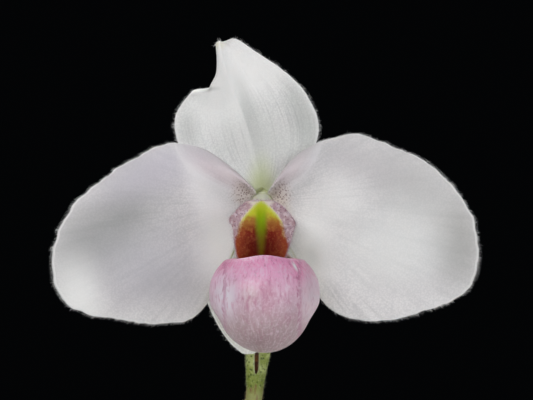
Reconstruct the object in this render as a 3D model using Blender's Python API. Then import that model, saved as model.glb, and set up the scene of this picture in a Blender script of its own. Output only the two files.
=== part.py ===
"""A slipper orchid: one white bloom with a pink pouch, on its cut stem in a plain glass bud vase.

Metres, +Z up. The origin is the middle of the vase's underside, and the bloom faces -Y.
Lengths are written in millimetres and multiplied by MM. The bloom's own outlines are given as
(x, z) beside the point where its parts join, seen from the front, with y as the depth behind it.
"""

import math

import bmesh
import bpy
from mathutils import Vector

MM = 0.001

# Places, in millimetres from the middle of the vase's underside
BLOOM = Vector((15.9, -7.5, 222.0))  # where sepals, petals, pouch and column join
FIT_GAP = 0.3  # between pieces that touch
SHARP_ANGLE = 55.0  # edges sharper than this many degrees aren't shaded smooth
CURVE_STEPS = 400  # points from which a smooth curve is measured
MERGE = 0.001  # distance under which points are one

# Vase and water
VASE_HEIGHT = 112.0
VASE_OUTSIDE = [(0.0, 21.5), (1.6, 23.6), (10, 28.6), (24, 31.0), (38, 28.2), (52, 20.6),
                (66, 13.3), (80, 10.2), (92, 9.7), (103, 10.9), (VASE_HEIGHT, 13.4)]  # height, radius
OUTSIDE_HEIGHTS = [0.0, 0.5, 1.6, 6, 13, 21, 29, 37, 45, 52, 59, 66, 74, 83, 92, 101, 108, 111]
INSIDE_HEIGHTS = [27, 34, 41, 47, 53, 59, 66, 74, 83, 92, 101, 108, 111]
VASE_WALL = 2.1
LIP_ROUND = 0.3
VASE_FLOOR = 6.5  # thickness of the glass under the water
VASE_FLOOR_FLAT = 9.0  # radius of the flat middle of that floor
VASE_BOWL_RISE = 13.0  # height over which the inner floor curves up into the wall
WATER_LEVEL = 60.0  # at most, and taken down to the nearest of the inside heights
ROUND_SIDES = 28

# Stem, bract and ovary
STEM_RADIUS = 1.95
STEM_PATH = [(-3.1, 0.0, 8.6), (-0.8, 0.3, 34), (1.9, 0.1, 61), (4.6, -0.2, 88), (7.2, -0.1, 113),
             (10.3, 0.2, 143), (13.3, 0.4, 172), (14.4, 0.5, 182.6)]  # foot to top
STEM_SWELL = 0.15  # more at the foot and less at the top
STEM_CUT_SLOPE = 0.8  # rise of the slanting cut from the middle of the foot to its edge
STEM_SIDES = 12
STEM_RINGS = 26
BRACT_STATIONS = [  # height against the bloom, outer radius, half of the front slit in degrees
    (-38.9, 1.95, 5.0), (-36.8, 2.0, 5.0), (-35.1, 2.25, 6.0), (-33.2, 2.5, 9.0), (-31.2, 2.75, 14.0),
    (-28.4, 3.1, 30.0), (-25.4, 3.6, 70.0), (-22.6, 4.1, 122.0), (-20.4, 4.5, 166.0)]
BRACT_THICK = 0.6
BRACT_ROWS = 14
BRACT_COLUMNS = 16
BRACT_LEAN = 2.4  # how far the bract's free tip leans back
BRACT_LEAN_FROM = -31.0  # height from which it leans
BRACT_LEAN_POWER = 1.5
OVARY_PATH = [(-1.5, 8.0, -38.9), (-1.2, 8.3, -29), (-0.7, 8.6, -18), (-0.3, 8.0, -8), (-0.1, 5.4, -1.6),
              (0.0, 2.6, 0.0), (0.0, 1.3, 0.0), (0.0, 0.0, 0.0)]
OVARY_RADII = [0.95, 1.45, 2.05, 2.4, 2.5, 2.7, 3.1, 3.3]
OVARY_RIBS = 6
OVARY_RIB_SHARE = 0.07
OVARY_RIB_FADE = 6.0  # how fast the ribs die out at the bloom
OVARY_SIDES = 24
OVARY_RINGS = 18
HUB_RADIUS = 2.3  # the boss on the ovary's end that the petals stand round
HUB_HEIGHT = 2.2
HUB_REACH = 2.85  # radius from which the petals start

# Blades of the bloom
BLADE_THICK = 0.7
PETAL_ROWS = 11
PETAL_COLUMNS = 28
PETALS = {
    # base: from where to where it stands round the boss, in degrees from +X
    # margin: from the upper end of the base round to the lower one
    # cup: how far the middle bulges forward; flare: how far the margin turns back again
    # tilt: lean of the upper part backwards; ripple: depth, waves and start of the margin's waves
    # hollows: soft dents, with middle, spread and depth, less than 0 for a swelling
    "petal_left": {
        "base": (122.0, 238.0),
        "margin": [(-2.2, 3.5), (-4.6, 5.8), (-7.4, 8.2), (-11.4, 10.7), (-17.0, 12.3), (-22.0, 11.8),
                   (-28.0, 8.9), (-34.0, 4.8), (-38.6, 0.8), (-41.9, -4.0), (-43.7, -9.4), (-43.6, -14.8),
                   (-42.0, -19.3), (-38.9, -22.5), (-33.4, -24.0), (-27.0, -24.9), (-20.4, -25.3),
                   (-15.3, -24.4), (-11.6, -21.2), (-9.0, -16.2), (-5.6, -8.4), (-2.9, -3.8)],
        "cup": 3.4, "flare": 3.0, "tilt": 0.035, "ripple": (0.35, 31.0, 0.0),
        "hollows": [(-33, -6, 9.0, 1.5), (-36, -19, 6.0, -1.2), (-18, -4, 8.0, -0.6)]},
    "petal_right": {
        "base": (58.0, -58.0),
        "margin": [(2.2, 3.4), (3.8, 6.0), (6.2, 9.0), (9.6, 11.7), (14.2, 13.4), (20.6, 14.3),
                   (27.0, 12.9), (33.2, 10.0), (38.0, 5.5), (42.0, 0.3), (44.7, -5.4), (45.5, -11.6),
                   (44.3, -16.6), (40.8, -20.0), (34.6, -22.6), (27.6, -24.4), (21.6, -24.8),
                   (16.2, -23.4), (12.2, -20.0), (9.0, -14.6), (5.6, -8.0), (2.9, -3.8)],
        "cup": 3.3, "flare": 2.8, "tilt": 0.045, "ripple": (0.3, 27.0, 1.0),
        "hollows": [(25, 6, 8.5, 1.2), (40, -9, 6.0, 1.3), (32, -19, 8.0, -1.0)]},
}
BASE_DEPTH = -1.7  # of the petals, in front of the sepals
TILT_ABOUT = -8.0  # height about which a petal tilts
ROW_CROWDING = 0.85  # power that sets more rows near the margin

# Upper sepal: stations from base to tip of its midrib, right margin and left margin as (x, z)
SEPAL_MIDRIB = [(0.0, 3.2), (-0.5, 6.0), (-1.5, 10.0), (-2.7, 14.5), (-4.1, 18.7), (-5.3, 21.9),
                (-6.2, 24.3), (-7.4, 27.2), (-8.5, 30.4), (-9.1, 32.6), (-9.3, 33.9)]
SEPAL_RIGHT = [(2.5, 1.7), (7.2, 5.0), (10.8, 10.4), (12.0, 15.8), (11.1, 20.0), (9.1, 23.6),
               (6.3, 26.4), (2.8, 29.0), (-1.9, 32.1), (-5.6, 34.5), (-8.4, 33.9)]
SEPAL_LEFT = [(-2.5, 1.7), (-8.6, 4.0), (-15.4, 8.4), (-18.2, 15.0), (-17.6, 19.6), (-14.8, 23.2),
              (-10.9, 24.8), (-10.2, 27.4), (-10.0, 30.4), (-10.1, 32.6), (-9.4, 33.9)]
SEPAL_DEPTH = [-0.65, -0.4, 0.8, 1.8, 2.2, 2.0, 1.7, 1.1, 0.5, 0.1, -0.2]
SEPAL_FOLD_ANGLE = [0, 0, 0, 2, 6, 24, 100, 116, 116, 105, 50]  # how far the left margin turns back, degrees
SEPAL_FOLD_START = [1.0, 3.5, 7.0, 8.5, 7.5, 4.6, 3.0, 1.2, 0.2, 0.0, 0.0]  # its distance from the midrib
SEPAL_LEFT_WIDTH = [2.9, 8.3, 14.0, 15.8, 14.0, 10.4, 10.6, 9.6, 7.0, 3.6, 0.7]  # left half, laid flat
SEPAL_FOLD_RADIUS = 1.0
SEPAL_ROWS = 18
SEPAL_HALF_COLUMNS = 9
SEPAL_LEAST_WIDTH = 0.4
SEPAL_RISE = 3.0  # the form across the blade sets in over the first third of its length
SEPAL_SLOPE_LEFT = 0.10  # how fast the left half falls back beside the ridge
SEPAL_CURL_LEFT = 0.0035  # how much faster for each millimetre out
SEPAL_ARCH_RIGHT = 0.15  # how much the right half is hollowed, as a share of its width
SEPAL_ARCH_SKEW = 0.8  # power that moves the deepest point towards the ridge
SEPAL_DROP_RIGHT = 0.02  # how far its margin lies back, as a share of its width

# Lower sepal, which cups the pouch from behind
LOWER_MIDRIB = [(0.0, -3.2), (-0.3, -8), (-0.8, -14), (-1.3, -20), (-1.8, -25.4), (-2.2, -29.0),
                (-2.5, -31.2)]
LOWER_RIGHT = [(2.5, -1.7), (6.6, -6.0), (9.0, -13), (9.0, -19.4), (7.0, -24.8), (3.0, -29.0),
               (-1.6, -31.2)]
LOWER_LEFT = [(-2.5, -1.7), (-7.6, -6.0), (-11.6, -13), (-12.2, -19), (-10.2, -24.6), (-6.9, -28.8),
              (-3.4, -31.2)]
LOWER_DEPTH = [-0.65, 0.9, 2.4, 2.0, 0.0, -2.8, -4.6]
LOWER_MARGIN_FORWARD = 2.2
LOWER_ROWS = 13
LOWER_HALF_COLUMNS = 8

# Pouch: a blown egg round its own middle, open on top, with a claw back to the bloom's centre
POUCH_MIDDLE = Vector((0.55, -18.6, -19.6))
POUCH_HALF = Vector((11.3, 13.4, 11.0))
POUCH_WALL = 0.9
POUCH_TAPER = 0.12  # how much narrower the lower half is than the egg
POUCH_TAPER_SPAN = 0.45  # share of the half height over which that sets in
POUCH_RIM_ANGLE = 134.0  # from the bottom up to the rim, degrees
POUCH_ROLL = 1.1  # radius of the rim that rolls in
POUCH_ROLL_TURN = 150.0  # how far round it rolls, degrees
POUCH_ROLL_STEPS = 4
POUCH_HEEL_ROLL = 0.25  # share of that radius at the heel
POUCH_HEEL_SPREAD = 33.6  # degrees each side of straight back
POUCH_RIM_STEP = 0.05  # angle, in radians, over which the slope at the rim is taken
POUCH_SIDES = 32
POUCH_ROWS = 12
CLAW_FROM_ANGLE = 95.0  # up from the bottom, degrees
CLAW_REACH = 10.4  # how much further than the egg the claw goes
CLAW_SPREAD = 21.0  # degrees each side of straight back

# Shield in front of the column
SHIELD_CENTRE = Vector((0.3, -14.2, -5.4))
SHIELD_OUTLINE = [(0.0, 6.0), (3.4, 5.3), (5.9, 3.6), (6.9, 1.9), (6.5, -0.9), (5.9, -3.6), (4.5, -5.9),
                  (2.3, -7.3), (0.0, -7.6), (-2.3, -7.3), (-4.5, -5.9), (-5.8, -3.6), (-6.3, -0.9),
                  (-6.7, 1.9), (-5.7, 3.6), (-3.4, 5.3)]
SHIELD_SIDES = 32
SHIELD_ROWS = 6
SHIELD_EDGE = 0.8
SHIELD_BULGE = 2.0
SHIELD_DOME_POWER = 0.8  # under 1 for a flatter top
SHIELD_GROOVE = 0.8
SHIELD_GROOVE_HALF = 1.2
SHIELD_BACK = 0.4

# Column behind the shield
COLUMN_RADII = [2.0, 2.0, 1.8, 1.7, 1.6, 1.5, 1.4]
COLUMN_SIDES = 14
COLUMN_PATH = [(0.0, -2.6, 0.0), (0.0, -3.9, 0.0), (0.1, -8.0, -0.5), (0.3, -12.6, -2.6)]
STIGMA_CENTRE = Vector((0.2, -8.4, -5.0))
STIGMA_HALF = Vector((2.6, 2.1, 1.1))
STALK_PATH = [Vector((0.1, -6.4, -0.5)), Vector((0.2, -7.6, -2.8)), STIGMA_CENTRE]
STALK_RADII = [1.2, 1.1, 1.0]
STALK_SIDES = 10
COLUMN_MIDDLE_X = 0.2
ANTHER_CENTRE = Vector((2.85, -8.8, -1.3))  # from the column's middle, on each side
ANTHER_HALF = Vector((0.9, 1.5, 1.3))
EGG_SEGMENTS = 14
EGG_RINGS = 9


def clear_scene():
    for obj in list(bpy.data.objects):
        bpy.data.objects.remove(obj)


def smooth_curve(points, count):
    """count points on a Catmull-Rom curve through the given ones, evenly spread over the spans."""
    ends = [tuple(2 * a - b for a, b in zip(points[0], points[1]))] + list(points)
    ends.append(tuple(2 * a - b for a, b in zip(points[-1], points[-2])))
    made = []
    for n in range(count):
        place = n * (len(points) - 1) / (count - 1)
        k = min(int(place), len(points) - 2)
        t = place - k
        made.append(tuple(
            0.5 * (2 * p1 + (p2 - p0) * t + (2 * p0 - 5 * p1 + 4 * p2 - p3) * t * t
                   + (3 * p1 - p0 - 3 * p2 + p3) * t ** 3)
            for p0, p1, p2, p3 in zip(*ends[k:k + 4])))
    return made


def even_curve(points, count):
    """count points at equal distances along the smooth curve through the given ones."""
    fine = [Vector(p) for p in smooth_curve(points, CURVE_STEPS)]
    reach = [0.0]
    for a, b in zip(fine, fine[1:]):
        reach.append(reach[-1] + (b - a).length)
    made, k = [], 0
    for n in range(count):
        wanted = reach[-1] * n / (count - 1)
        while k < len(reach) - 2 and reach[k + 1] < wanted:
            k += 1
        share = (wanted - reach[k]) / max(reach[k + 1] - reach[k], 1e-9)
        made.append(fine[k].lerp(fine[k + 1], min(max(share, 0.0), 1.0)))
    return made


def smooth_value(values, share):
    """The value at a share, from 0 to 1, of the smooth curve through evenly placed values."""
    table = smooth_curve([(v,) for v in values], CURVE_STEPS + 1)
    place = min(max(share, 0.0), 1.0) * CURVE_STEPS
    k = min(int(place), CURVE_STEPS - 1)
    return table[k][0] + (table[k + 1][0] - table[k][0]) * (place - k)


def smooth_values(tables, share):
    return [smooth_value(values, share) for values in tables]


def smooth_step(value):
    """From 0 to 1 with a soft start and a soft end."""
    held = min(max(value, 0.0), 1.0)
    return held * held * (3 - 2 * held)


def material(name, colour, roughness, alpha=1.0, transmission=0.0):
    made = bpy.data.materials.new(name)
    made.use_nodes = True
    shader = made.node_tree.nodes["Principled BSDF"]
    shader.inputs["Base Color"].default_value = (*colour, 1.0)
    shader.inputs["Roughness"].default_value = roughness
    shader.inputs["Metallic"].default_value = 0.0
    shader.inputs["Alpha"].default_value = alpha
    shader.inputs["Transmission Weight"].default_value = transmission
    made.diffuse_color = (*colour, alpha)
    return made


def add_object(name, shape, finish, place=(0.0, 0.0, 0.0)):
    """An object at place, with the mesh that shape, a bmesh in millimetres, holds."""
    bmesh.ops.recalc_face_normals(shape, faces=shape.faces)
    bmesh.ops.scale(shape, vec=(MM, MM, MM), verts=shape.verts)
    mesh = bpy.data.meshes.new(name)
    shape.to_mesh(mesh)
    shape.free()
    mesh.shade_smooth()
    mesh.set_sharp_from_angle(angle=math.radians(SHARP_ANGLE))
    mesh.materials.append(finish)
    obj = bpy.data.objects.new(name, mesh)
    obj.location = Vector(place) * MM
    bpy.context.collection.objects.link(obj)
    return obj


def grid_sheet(rows):
    """A bmesh sheet through rows of points, its squares cut in two, facing the bloom's front."""
    bm = bmesh.new()
    grid = [[bm.verts.new(p) for p in row] for row in rows]
    for low, high in zip(grid, grid[1:]):
        for k in range(len(low) - 1):
            bm.faces.new((low[k], low[k + 1], high[k + 1]))
            bm.faces.new((low[k], high[k + 1], high[k]))
    return bm


def blade(name, rows, finish, thickness=BLADE_THICK):
    """A thin sheet of even thickness, with the same triangles on both faces."""
    obj = add_object(name, grid_sheet(rows), finish, BLOOM)
    solidify = obj.modifiers.new("thickness", "SOLIDIFY")
    solidify.thickness = thickness * MM
    solidify.offset = 0.0
    return obj


def tube(rings):
    """A closed bmesh skin over rings of points, with a fan of faces on both ends."""
    bm = bmesh.new()
    loops = [[bm.verts.new(p) for p in ring] for ring in rings]
    sides = len(loops[0])
    for low, high in zip(loops, loops[1:]):
        for k in range(sides):
            after = (k + 1) % sides
            bm.faces.new((low[k], low[after], high[after], high[k]))
    for loop in (loops[0], loops[-1]):
        middle = bm.verts.new(sum((v.co for v in loop), Vector()) / sides)
        for k in range(sides):
            bm.faces.new((loop[k], loop[(k + 1) % sides], middle))
    return bm


def rings_along(path, radii, sides):
    """Rings of points round a path, each turned with it."""
    across = Vector((1.0, 0.0, 0.0))
    rings = []
    for n, point in enumerate(path):
        ahead = (path[min(n + 1, len(path) - 1)] - path[max(n - 1, 0)]).normalized()
        across = (across - ahead * across.dot(ahead)).normalized()
        up = ahead.cross(across)
        angles = [2 * math.pi * k / sides for k in range(sides)]
        rings.append([point + (across * math.cos(a) + up * math.sin(a)) * radii[n] for a in angles])
    return rings


def turned(profile):
    """A bmesh spun round Z from a (height, radius) profile that starts and ends on the axis."""
    bm = bmesh.new()
    verts = [bm.verts.new((radius, 0.0, height)) for height, radius in profile]
    edges = [bm.edges.new(pair) for pair in zip(verts, verts[1:])]
    bmesh.ops.spin(bm, geom=verts + edges, cent=(0, 0, 0), axis=(0, 0, 1), angle=2 * math.pi,
                   steps=ROUND_SIDES, use_merge=True)
    bmesh.ops.remove_doubles(bm, verts=bm.verts, dist=MERGE)
    return bm


def outer_radius(height):
    """The vase's outer radius at a height, read from the smooth curve through its stations."""
    curve = smooth_curve(VASE_OUTSIDE, CURVE_STEPS)
    for (z0, r0), (z1, r1) in zip(curve, curve[1:]):
        if z0 <= height <= z1:
            return r0 + (r1 - r0) * (height - z0) / (z1 - z0)
    return curve[-1][1]


def inside_profile():
    """(height, radius) of the inner face from the floor's middle up: flat, a round bowl, the wall."""
    bowl_top = VASE_FLOOR + VASE_BOWL_RISE
    spread = outer_radius(bowl_top) - VASE_WALL - VASE_FLOOR_FLAT
    profile = [(VASE_FLOOR, 0.0), (VASE_FLOOR, VASE_FLOOR_FLAT)]
    for degrees in range(15, 91, 15):
        angle = math.radians(degrees)
        height = bowl_top - VASE_BOWL_RISE * math.cos(angle)
        profile.append((height, VASE_FLOOR_FLAT + spread * math.sin(angle)))
    return profile + [(z, outer_radius(z) - VASE_WALL) for z in INSIDE_HEIGHTS]


def drawn_in(profile, gap):
    """A profile moved in by gap, square to its own line. Its first point stays on the axis."""
    moved = []
    for n, (z, r) in enumerate(profile):
        z0, r0 = profile[max(n - 1, 0)]
        z1, r1 = profile[min(n + 1, len(profile) - 1)]
        along = math.hypot(z1 - z0, r1 - r0)
        moved.append((z + gap * (r1 - r0) / along, r - gap * (z1 - z0) / along if n else 0.0))
    return moved


def build_vase(finish):
    """Blown glass: a full belly, a slim neck, an opened lip and a thick flat base."""
    lip = outer_radius(VASE_HEIGHT)
    profile = [(0.0, 0.0)] + [(z, outer_radius(z)) for z in OUTSIDE_HEIGHTS]
    profile += [(VASE_HEIGHT - LIP_ROUND, lip - LIP_ROUND), (VASE_HEIGHT, lip - VASE_WALL / 2),
                (VASE_HEIGHT - LIP_ROUND, lip - VASE_WALL + LIP_ROUND)]
    profile += reversed(inside_profile())
    add_object("vase", turned(profile), finish)


def build_water(finish, stem_cutter):
    """The water fills the belly up to its level, with a plain hole where the stem stands."""
    profile = drawn_in([point for point in inside_profile() if point[0] <= WATER_LEVEL], FIT_GAP)
    profile.append((profile[-1][0], 0.0))
    water = add_object("water", turned(profile), finish)
    hole = water.modifiers.new("stem_hole", "BOOLEAN")
    hole.operation = "DIFFERENCE"
    hole.solver = "EXACT"
    hole.object = stem_cutter


def build_stem(finish):
    """The leafless flower stalk, cut on a slant at the foot, which leans on the vase's neck."""
    path = even_curve(STEM_PATH, STEM_RINGS)
    swell = [STEM_SWELL * math.cos(math.pi * n / (STEM_RINGS - 1)) for n in range(STEM_RINGS)]
    rings = rings_along(path, [STEM_RADIUS + s for s in swell], STEM_SIDES)
    for point in rings[0]:
        point.z += STEM_CUT_SLOPE * (point.x - path[0].x) / STEM_RADIUS
    add_object("stem", tube(rings), finish)


def build_stem_cutter():
    """A guide that opens the water for the stem, never shown."""
    path = even_curve(STEM_PATH, STEM_RINGS)
    path = [path[0] - (path[1] - path[0])] + path[:STEM_RINGS // 2]
    radii = [STEM_RADIUS + STEM_SWELL + FIT_GAP] * len(path)
    cutter = add_object("stem_cutter", tube(rings_along(path, radii, STEM_SIDES)), None)
    cutter.hide_render = True
    cutter.display_type = "WIRE"
    return cutter


def stalk_axis(height):
    """The point, at a height, of the stem's line as it goes on into the ovary's."""
    line = even_curve(STEM_PATH, STEM_RINGS) + [BLOOM + Vector(p) for p in OVARY_PATH[1:4]]
    for a, b in zip(line, line[1:]):
        if height <= b.z:
            return a.lerp(b, (height - a.z) / (b.z - a.z))
    return line[-1]


def build_bract(finish):
    """A pointed leafy sheath: it clasps the ovary's foot, and opens in front in a narrow slit."""
    lowest, highest = BRACT_STATIONS[0][0], BRACT_STATIONS[-1][0]
    rows = []
    for height, radius, half_slit in smooth_curve(BRACT_STATIONS, BRACT_ROWS):
        height = min(max(height, lowest), highest)
        centre = stalk_axis(BLOOM.z + height) - BLOOM
        free = max(0.0, (height - BRACT_LEAN_FROM) / (highest - BRACT_LEAN_FROM))
        centre = Vector((centre.x, centre.y + BRACT_LEAN * free ** BRACT_LEAN_POWER, height))
        reach = radius - BRACT_THICK / 2
        opening = math.radians(half_slit)
        row = []
        for k in range(BRACT_COLUMNS + 1):
            angle = -math.pi / 2 + opening + 2 * (math.pi - opening) * k / BRACT_COLUMNS
            row.append(centre + Vector((math.cos(angle) * reach, math.sin(angle) * reach, 0.0)))
        rows.append(row)
    blade("bract", rows, finish, BRACT_THICK)


def build_ovary(finish):
    """The ribbed ovary, which bends forward and ends in the boss that the bloom stands on."""
    path = even_curve(OVARY_PATH, OVARY_RINGS)
    radii = [smooth_value(OVARY_RADII, n / (OVARY_RINGS - 1)) for n in range(OVARY_RINGS)]
    rings = []
    for n, ring in enumerate(rings_along(path, radii, OVARY_SIDES)):
        fade = min(1.0, OVARY_RIB_FADE * (1 - n / (OVARY_RINGS - 1)))
        swell = [OVARY_RIB_SHARE * fade * math.cos(OVARY_RIBS * 2 * math.pi * k / OVARY_SIDES)
                 for k in range(OVARY_SIDES)]
        rings.append([path[n] + (point - path[n]) * (1 + swell[k]) for k, point in enumerate(ring)])
    last = rings[-1]
    for forward in (0.0, HUB_HEIGHT):
        rings.append([Vector((0, -forward, 0)) + p.normalized() * HUB_RADIUS for p in last])
    add_object("ovary", tube(rings), finish, BLOOM)


def flat_curve(points, count):
    """Evenly placed points in the plane y = 0 on the smooth curve through (x, z) points."""
    return even_curve([(x, 0.0, z) for x, z in points], count)


def petal_depth(petal, point, share, around):
    """How far behind the bloom's centre a point of a petal lies. share runs from base to margin."""
    cupped = petal["cup"] * math.sin(min(1.0, share * 1.5) * math.pi / 2)
    depth = BASE_DEPTH - cupped + petal["flare"] * share ** 3
    depth += petal["tilt"] * (point.z - TILT_ABOUT) * share
    height, waves, start = petal["ripple"]
    depth += height * share ** 5 * math.sin(around * waves + start)
    for x, z, spread, amount in petal["hollows"]:
        depth += amount * math.exp(-((point.x - x) ** 2 + (point.z - z) ** 2) / spread ** 2)
    return depth


def build_petals(finish):
    """Two broad petals that fan out from the boss in gentle waves."""
    for name, petal in PETALS.items():
        edge = flat_curve(petal["margin"], PETAL_COLUMNS + 1)
        first, last = petal["base"]
        rows = []
        for n in range(PETAL_ROWS + 1):
            share = (n / PETAL_ROWS) ** ROW_CROWDING
            row = []
            for k, end in enumerate(edge):
                around = k / PETAL_COLUMNS
                angle = math.radians(first + (last - first) * around)
                start = Vector((math.cos(angle), 0.0, math.sin(angle))) * HUB_REACH
                point = start.lerp(end, share)
                point.y = petal_depth(petal, point, share, around)
                row.append(point)
            rows.append(row)
        blade(name, rows, finish)


def build_upper_sepal(finish):
    """The upper sepal: broad, ridged along its midrib, its left margin turned back near the tip."""
    outlines = [[p[k] for p in line] for line in (SEPAL_MIDRIB, SEPAL_RIGHT, SEPAL_LEFT) for k in (0, 1)]
    forms = (SEPAL_DEPTH, SEPAL_FOLD_ANGLE, SEPAL_FOLD_START, SEPAL_LEFT_WIDTH)
    rows = []
    for n in range(SEPAL_ROWS + 1):
        share = n / SEPAL_ROWS
        mid_x, mid_z, right_x, right_z, left_x, left_z = smooth_values(outlines, share)
        depth, turn, start, width = smooth_values(forms, share)
        rise = min(1.0, SEPAL_RISE * share)
        middle = Vector((mid_x, depth, mid_z))
        outward = Vector((left_x - mid_x, 0.0, left_z - mid_z)).normalized()
        row = []
        for k in range(SEPAL_HALF_COLUMNS, 0, -1):
            reach = max(width, SEPAL_LEAST_WIDTH) * k / SEPAL_HALF_COLUMNS
            sideways, back = folded(reach, min(start, width), math.radians(max(turn, 0.0)))
            slope = SEPAL_SLOPE_LEFT * sideways + SEPAL_CURL_LEFT * sideways ** 2
            row.append(middle + outward * sideways + Vector((0.0, back + slope * rise, 0.0)))
        row.append(middle)
        wide = math.hypot(right_x - mid_x, right_z - mid_z)
        for k in range(1, SEPAL_HALF_COLUMNS + 1):
            part = k / SEPAL_HALF_COLUMNS
            point = middle.lerp(Vector((right_x, depth, right_z)), part)
            arch = SEPAL_ARCH_RIGHT * math.sin(math.pi * part ** SEPAL_ARCH_SKEW)
            point.y += wide * (arch + SEPAL_DROP_RIGHT * part) * rise
            row.append(point)
        rows.append(row)
    blade("upper_sepal", rows, finish)


def folded(reach, start, turn):
    """(sideways, back) of a point, at reach across a blade that turns back by an angle past start."""
    radius = SEPAL_FOLD_RADIUS
    if reach <= start or turn == 0.0:
        return reach, 0.0
    angle = min((reach - start) / radius, turn)
    rest = reach - start - angle * radius
    sideways = start + radius * math.sin(angle) + rest * math.cos(angle)
    back = radius * (1 - math.cos(angle)) + rest * math.sin(angle)
    return sideways, back


def build_lower_sepal(finish):
    """The two lower sepals, grown together into one blade behind the pouch."""
    outlines = [[p[k] for p in line] for line in (LOWER_MIDRIB, LOWER_RIGHT, LOWER_LEFT) for k in (0, 1)]
    rows = []
    for n in range(LOWER_ROWS + 1):
        share = n / LOWER_ROWS
        mid_x, mid_z, right_x, right_z, left_x, left_z = smooth_values(outlines, share)
        depth = smooth_value(LOWER_DEPTH, share)
        forward = LOWER_MARGIN_FORWARD * math.sin(math.pi * share)
        middle = Vector((mid_x, depth, mid_z))
        row = []
        for k in range(LOWER_HALF_COLUMNS, -LOWER_HALF_COLUMNS - 1, -1):
            part = abs(k) / LOWER_HALF_COLUMNS
            side = (left_x, left_z) if k > 0 else (right_x, right_z)
            point = middle.lerp(Vector((side[0], depth, side[1])), part)
            point.y -= forward * part ** 2
            row.append(point)
        rows.append(row)
    blade("lower_sepal", rows, finish)


def heel_angle(turn):
    """The angle, in degrees, between a turn round the pouch and straight back."""
    return math.degrees(min(turn, 2 * math.pi - turn))


def pouch_point(turn, polar):
    """A point of the outer face. turn goes round from straight back, polar up from the bottom."""
    level = Vector((math.sin(turn), math.cos(turn), 0.0))
    outward = level * math.sin(polar) - Vector((0.0, 0.0, math.cos(polar)))
    egg_reach = 1.0 / math.sqrt(sum((outward[k] / POUCH_HALF[k]) ** 2 for k in range(3)))
    rise = smooth_step((math.degrees(polar) - CLAW_FROM_ANGLE) / (POUCH_RIM_ANGLE - CLAW_FROM_ANGLE))
    claw = CLAW_REACH * rise * math.exp(-(heel_angle(turn) / CLAW_SPREAD) ** 2)
    point = outward * (egg_reach + claw)
    point.x *= 1.0 - POUCH_TAPER * smooth_step(math.cos(polar) / POUCH_TAPER_SPAN)
    return POUCH_MIDDLE + point


def rim_point(turn, share):
    """A point of the rim, which rolls on over and in from the edge of the outer face."""
    rim = math.radians(POUCH_RIM_ANGLE)
    edge = pouch_point(turn, rim)
    ahead = (edge - pouch_point(turn, rim - POUCH_RIM_STEP)).normalized()
    inward = -Vector((math.sin(turn), math.cos(turn), 0.0))
    inward = (inward - ahead * inward.dot(ahead)).normalized()
    at_heel = math.exp(-(heel_angle(turn) / POUCH_HEEL_SPREAD) ** 2)
    radius = POUCH_ROLL * (1 - (1 - POUCH_HEEL_ROLL) * at_heel)
    angle = math.radians(POUCH_ROLL_TURN) * share
    return edge + (ahead * math.sin(angle) + inward * (1 - math.cos(angle))) * radius


def build_pouch(finish):
    """The lip, blown up into a slipper: thin walls, a rim that rolls in, and a claw at the heel."""
    turns = [2 * math.pi * k / POUCH_SIDES for k in range(POUCH_SIDES)]
    polars = [math.radians(POUCH_RIM_ANGLE) * n / POUCH_ROWS for n in range(1, POUCH_ROWS + 1)]
    shares = [n / POUCH_ROLL_STEPS for n in range(1, POUCH_ROLL_STEPS + 1)]
    rows = [[pouch_point(turn, polar) for turn in turns] for polar in polars]
    rows += [[rim_point(turn, share) for turn in turns] for share in shares]
    rows = [row + row[:1] for row in rows]
    bm = grid_sheet(rows)
    bmesh.ops.remove_doubles(bm, verts=bm.verts, dist=MERGE)
    bottom = bm.verts.new(pouch_point(0.0, 0.0))
    lowest = [edge for edge in bm.edges if edge.is_boundary and edge.verts[0].co.z < POUCH_MIDDLE.z]
    for edge in lowest:
        bm.faces.new((*edge.verts, bottom))
    pouch = add_object("pouch", bm, finish, BLOOM)
    solidify = pouch.modifiers.new("wall", "SOLIDIFY")
    solidify.thickness = POUCH_WALL * MM
    solidify.offset = -1.0


def shield_front(x, share):
    """The depth of the shield's face: a dome with a groove down its middle."""
    fall = 1 - share ** 2
    groove = SHIELD_GROOVE * math.exp(-(x / SHIELD_GROOVE_HALF) ** 2)
    return -SHIELD_EDGE / 2 - SHIELD_BULGE * fall ** SHIELD_DOME_POWER + groove * fall


def build_shield(finish):
    """The staminode: a small domed shield with a groove, which hides the column."""
    outline = flat_curve(SHIELD_OUTLINE + SHIELD_OUTLINE[:1], SHIELD_SIDES + 1)[:-1]
    rings = []
    for n in range(1, SHIELD_ROWS + 1):
        share = n / SHIELD_ROWS
        rings.append([Vector((p.x * share, shield_front(p.x * share, share), p.z * share)) for p in outline])
    for n in range(SHIELD_ROWS, 0, -1):
        share = n / SHIELD_ROWS
        depth = SHIELD_EDGE / 2 + SHIELD_BACK * (1 - share)
        rings.append([Vector((p.x * share, depth, p.z * share)) for p in outline])
    add_object("shield", tube(rings), finish, BLOOM + SHIELD_CENTRE)


def egg(name, half, finish, place):
    bm = bmesh.new()
    bmesh.ops.create_uvsphere(bm, u_segments=EGG_SEGMENTS, v_segments=EGG_RINGS, radius=1.0)
    bmesh.ops.scale(bm, vec=half, verts=bm.verts)
    return add_object(name, bm, finish, place)


def join_into(body, part):
    """Fuses part into body by a Boolean union that is applied, and removes part."""
    union = body.modifiers.new("union", "BOOLEAN")
    union.operation = "UNION"
    union.solver = "EXACT"
    union.object = part
    bpy.context.view_layer.update()
    graph = bpy.context.evaluated_depsgraph_get()
    mesh = bpy.data.meshes.new_from_object(body.evaluated_get(graph))
    body.modifiers.clear()
    body.data = mesh
    bpy.data.objects.remove(part)


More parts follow.
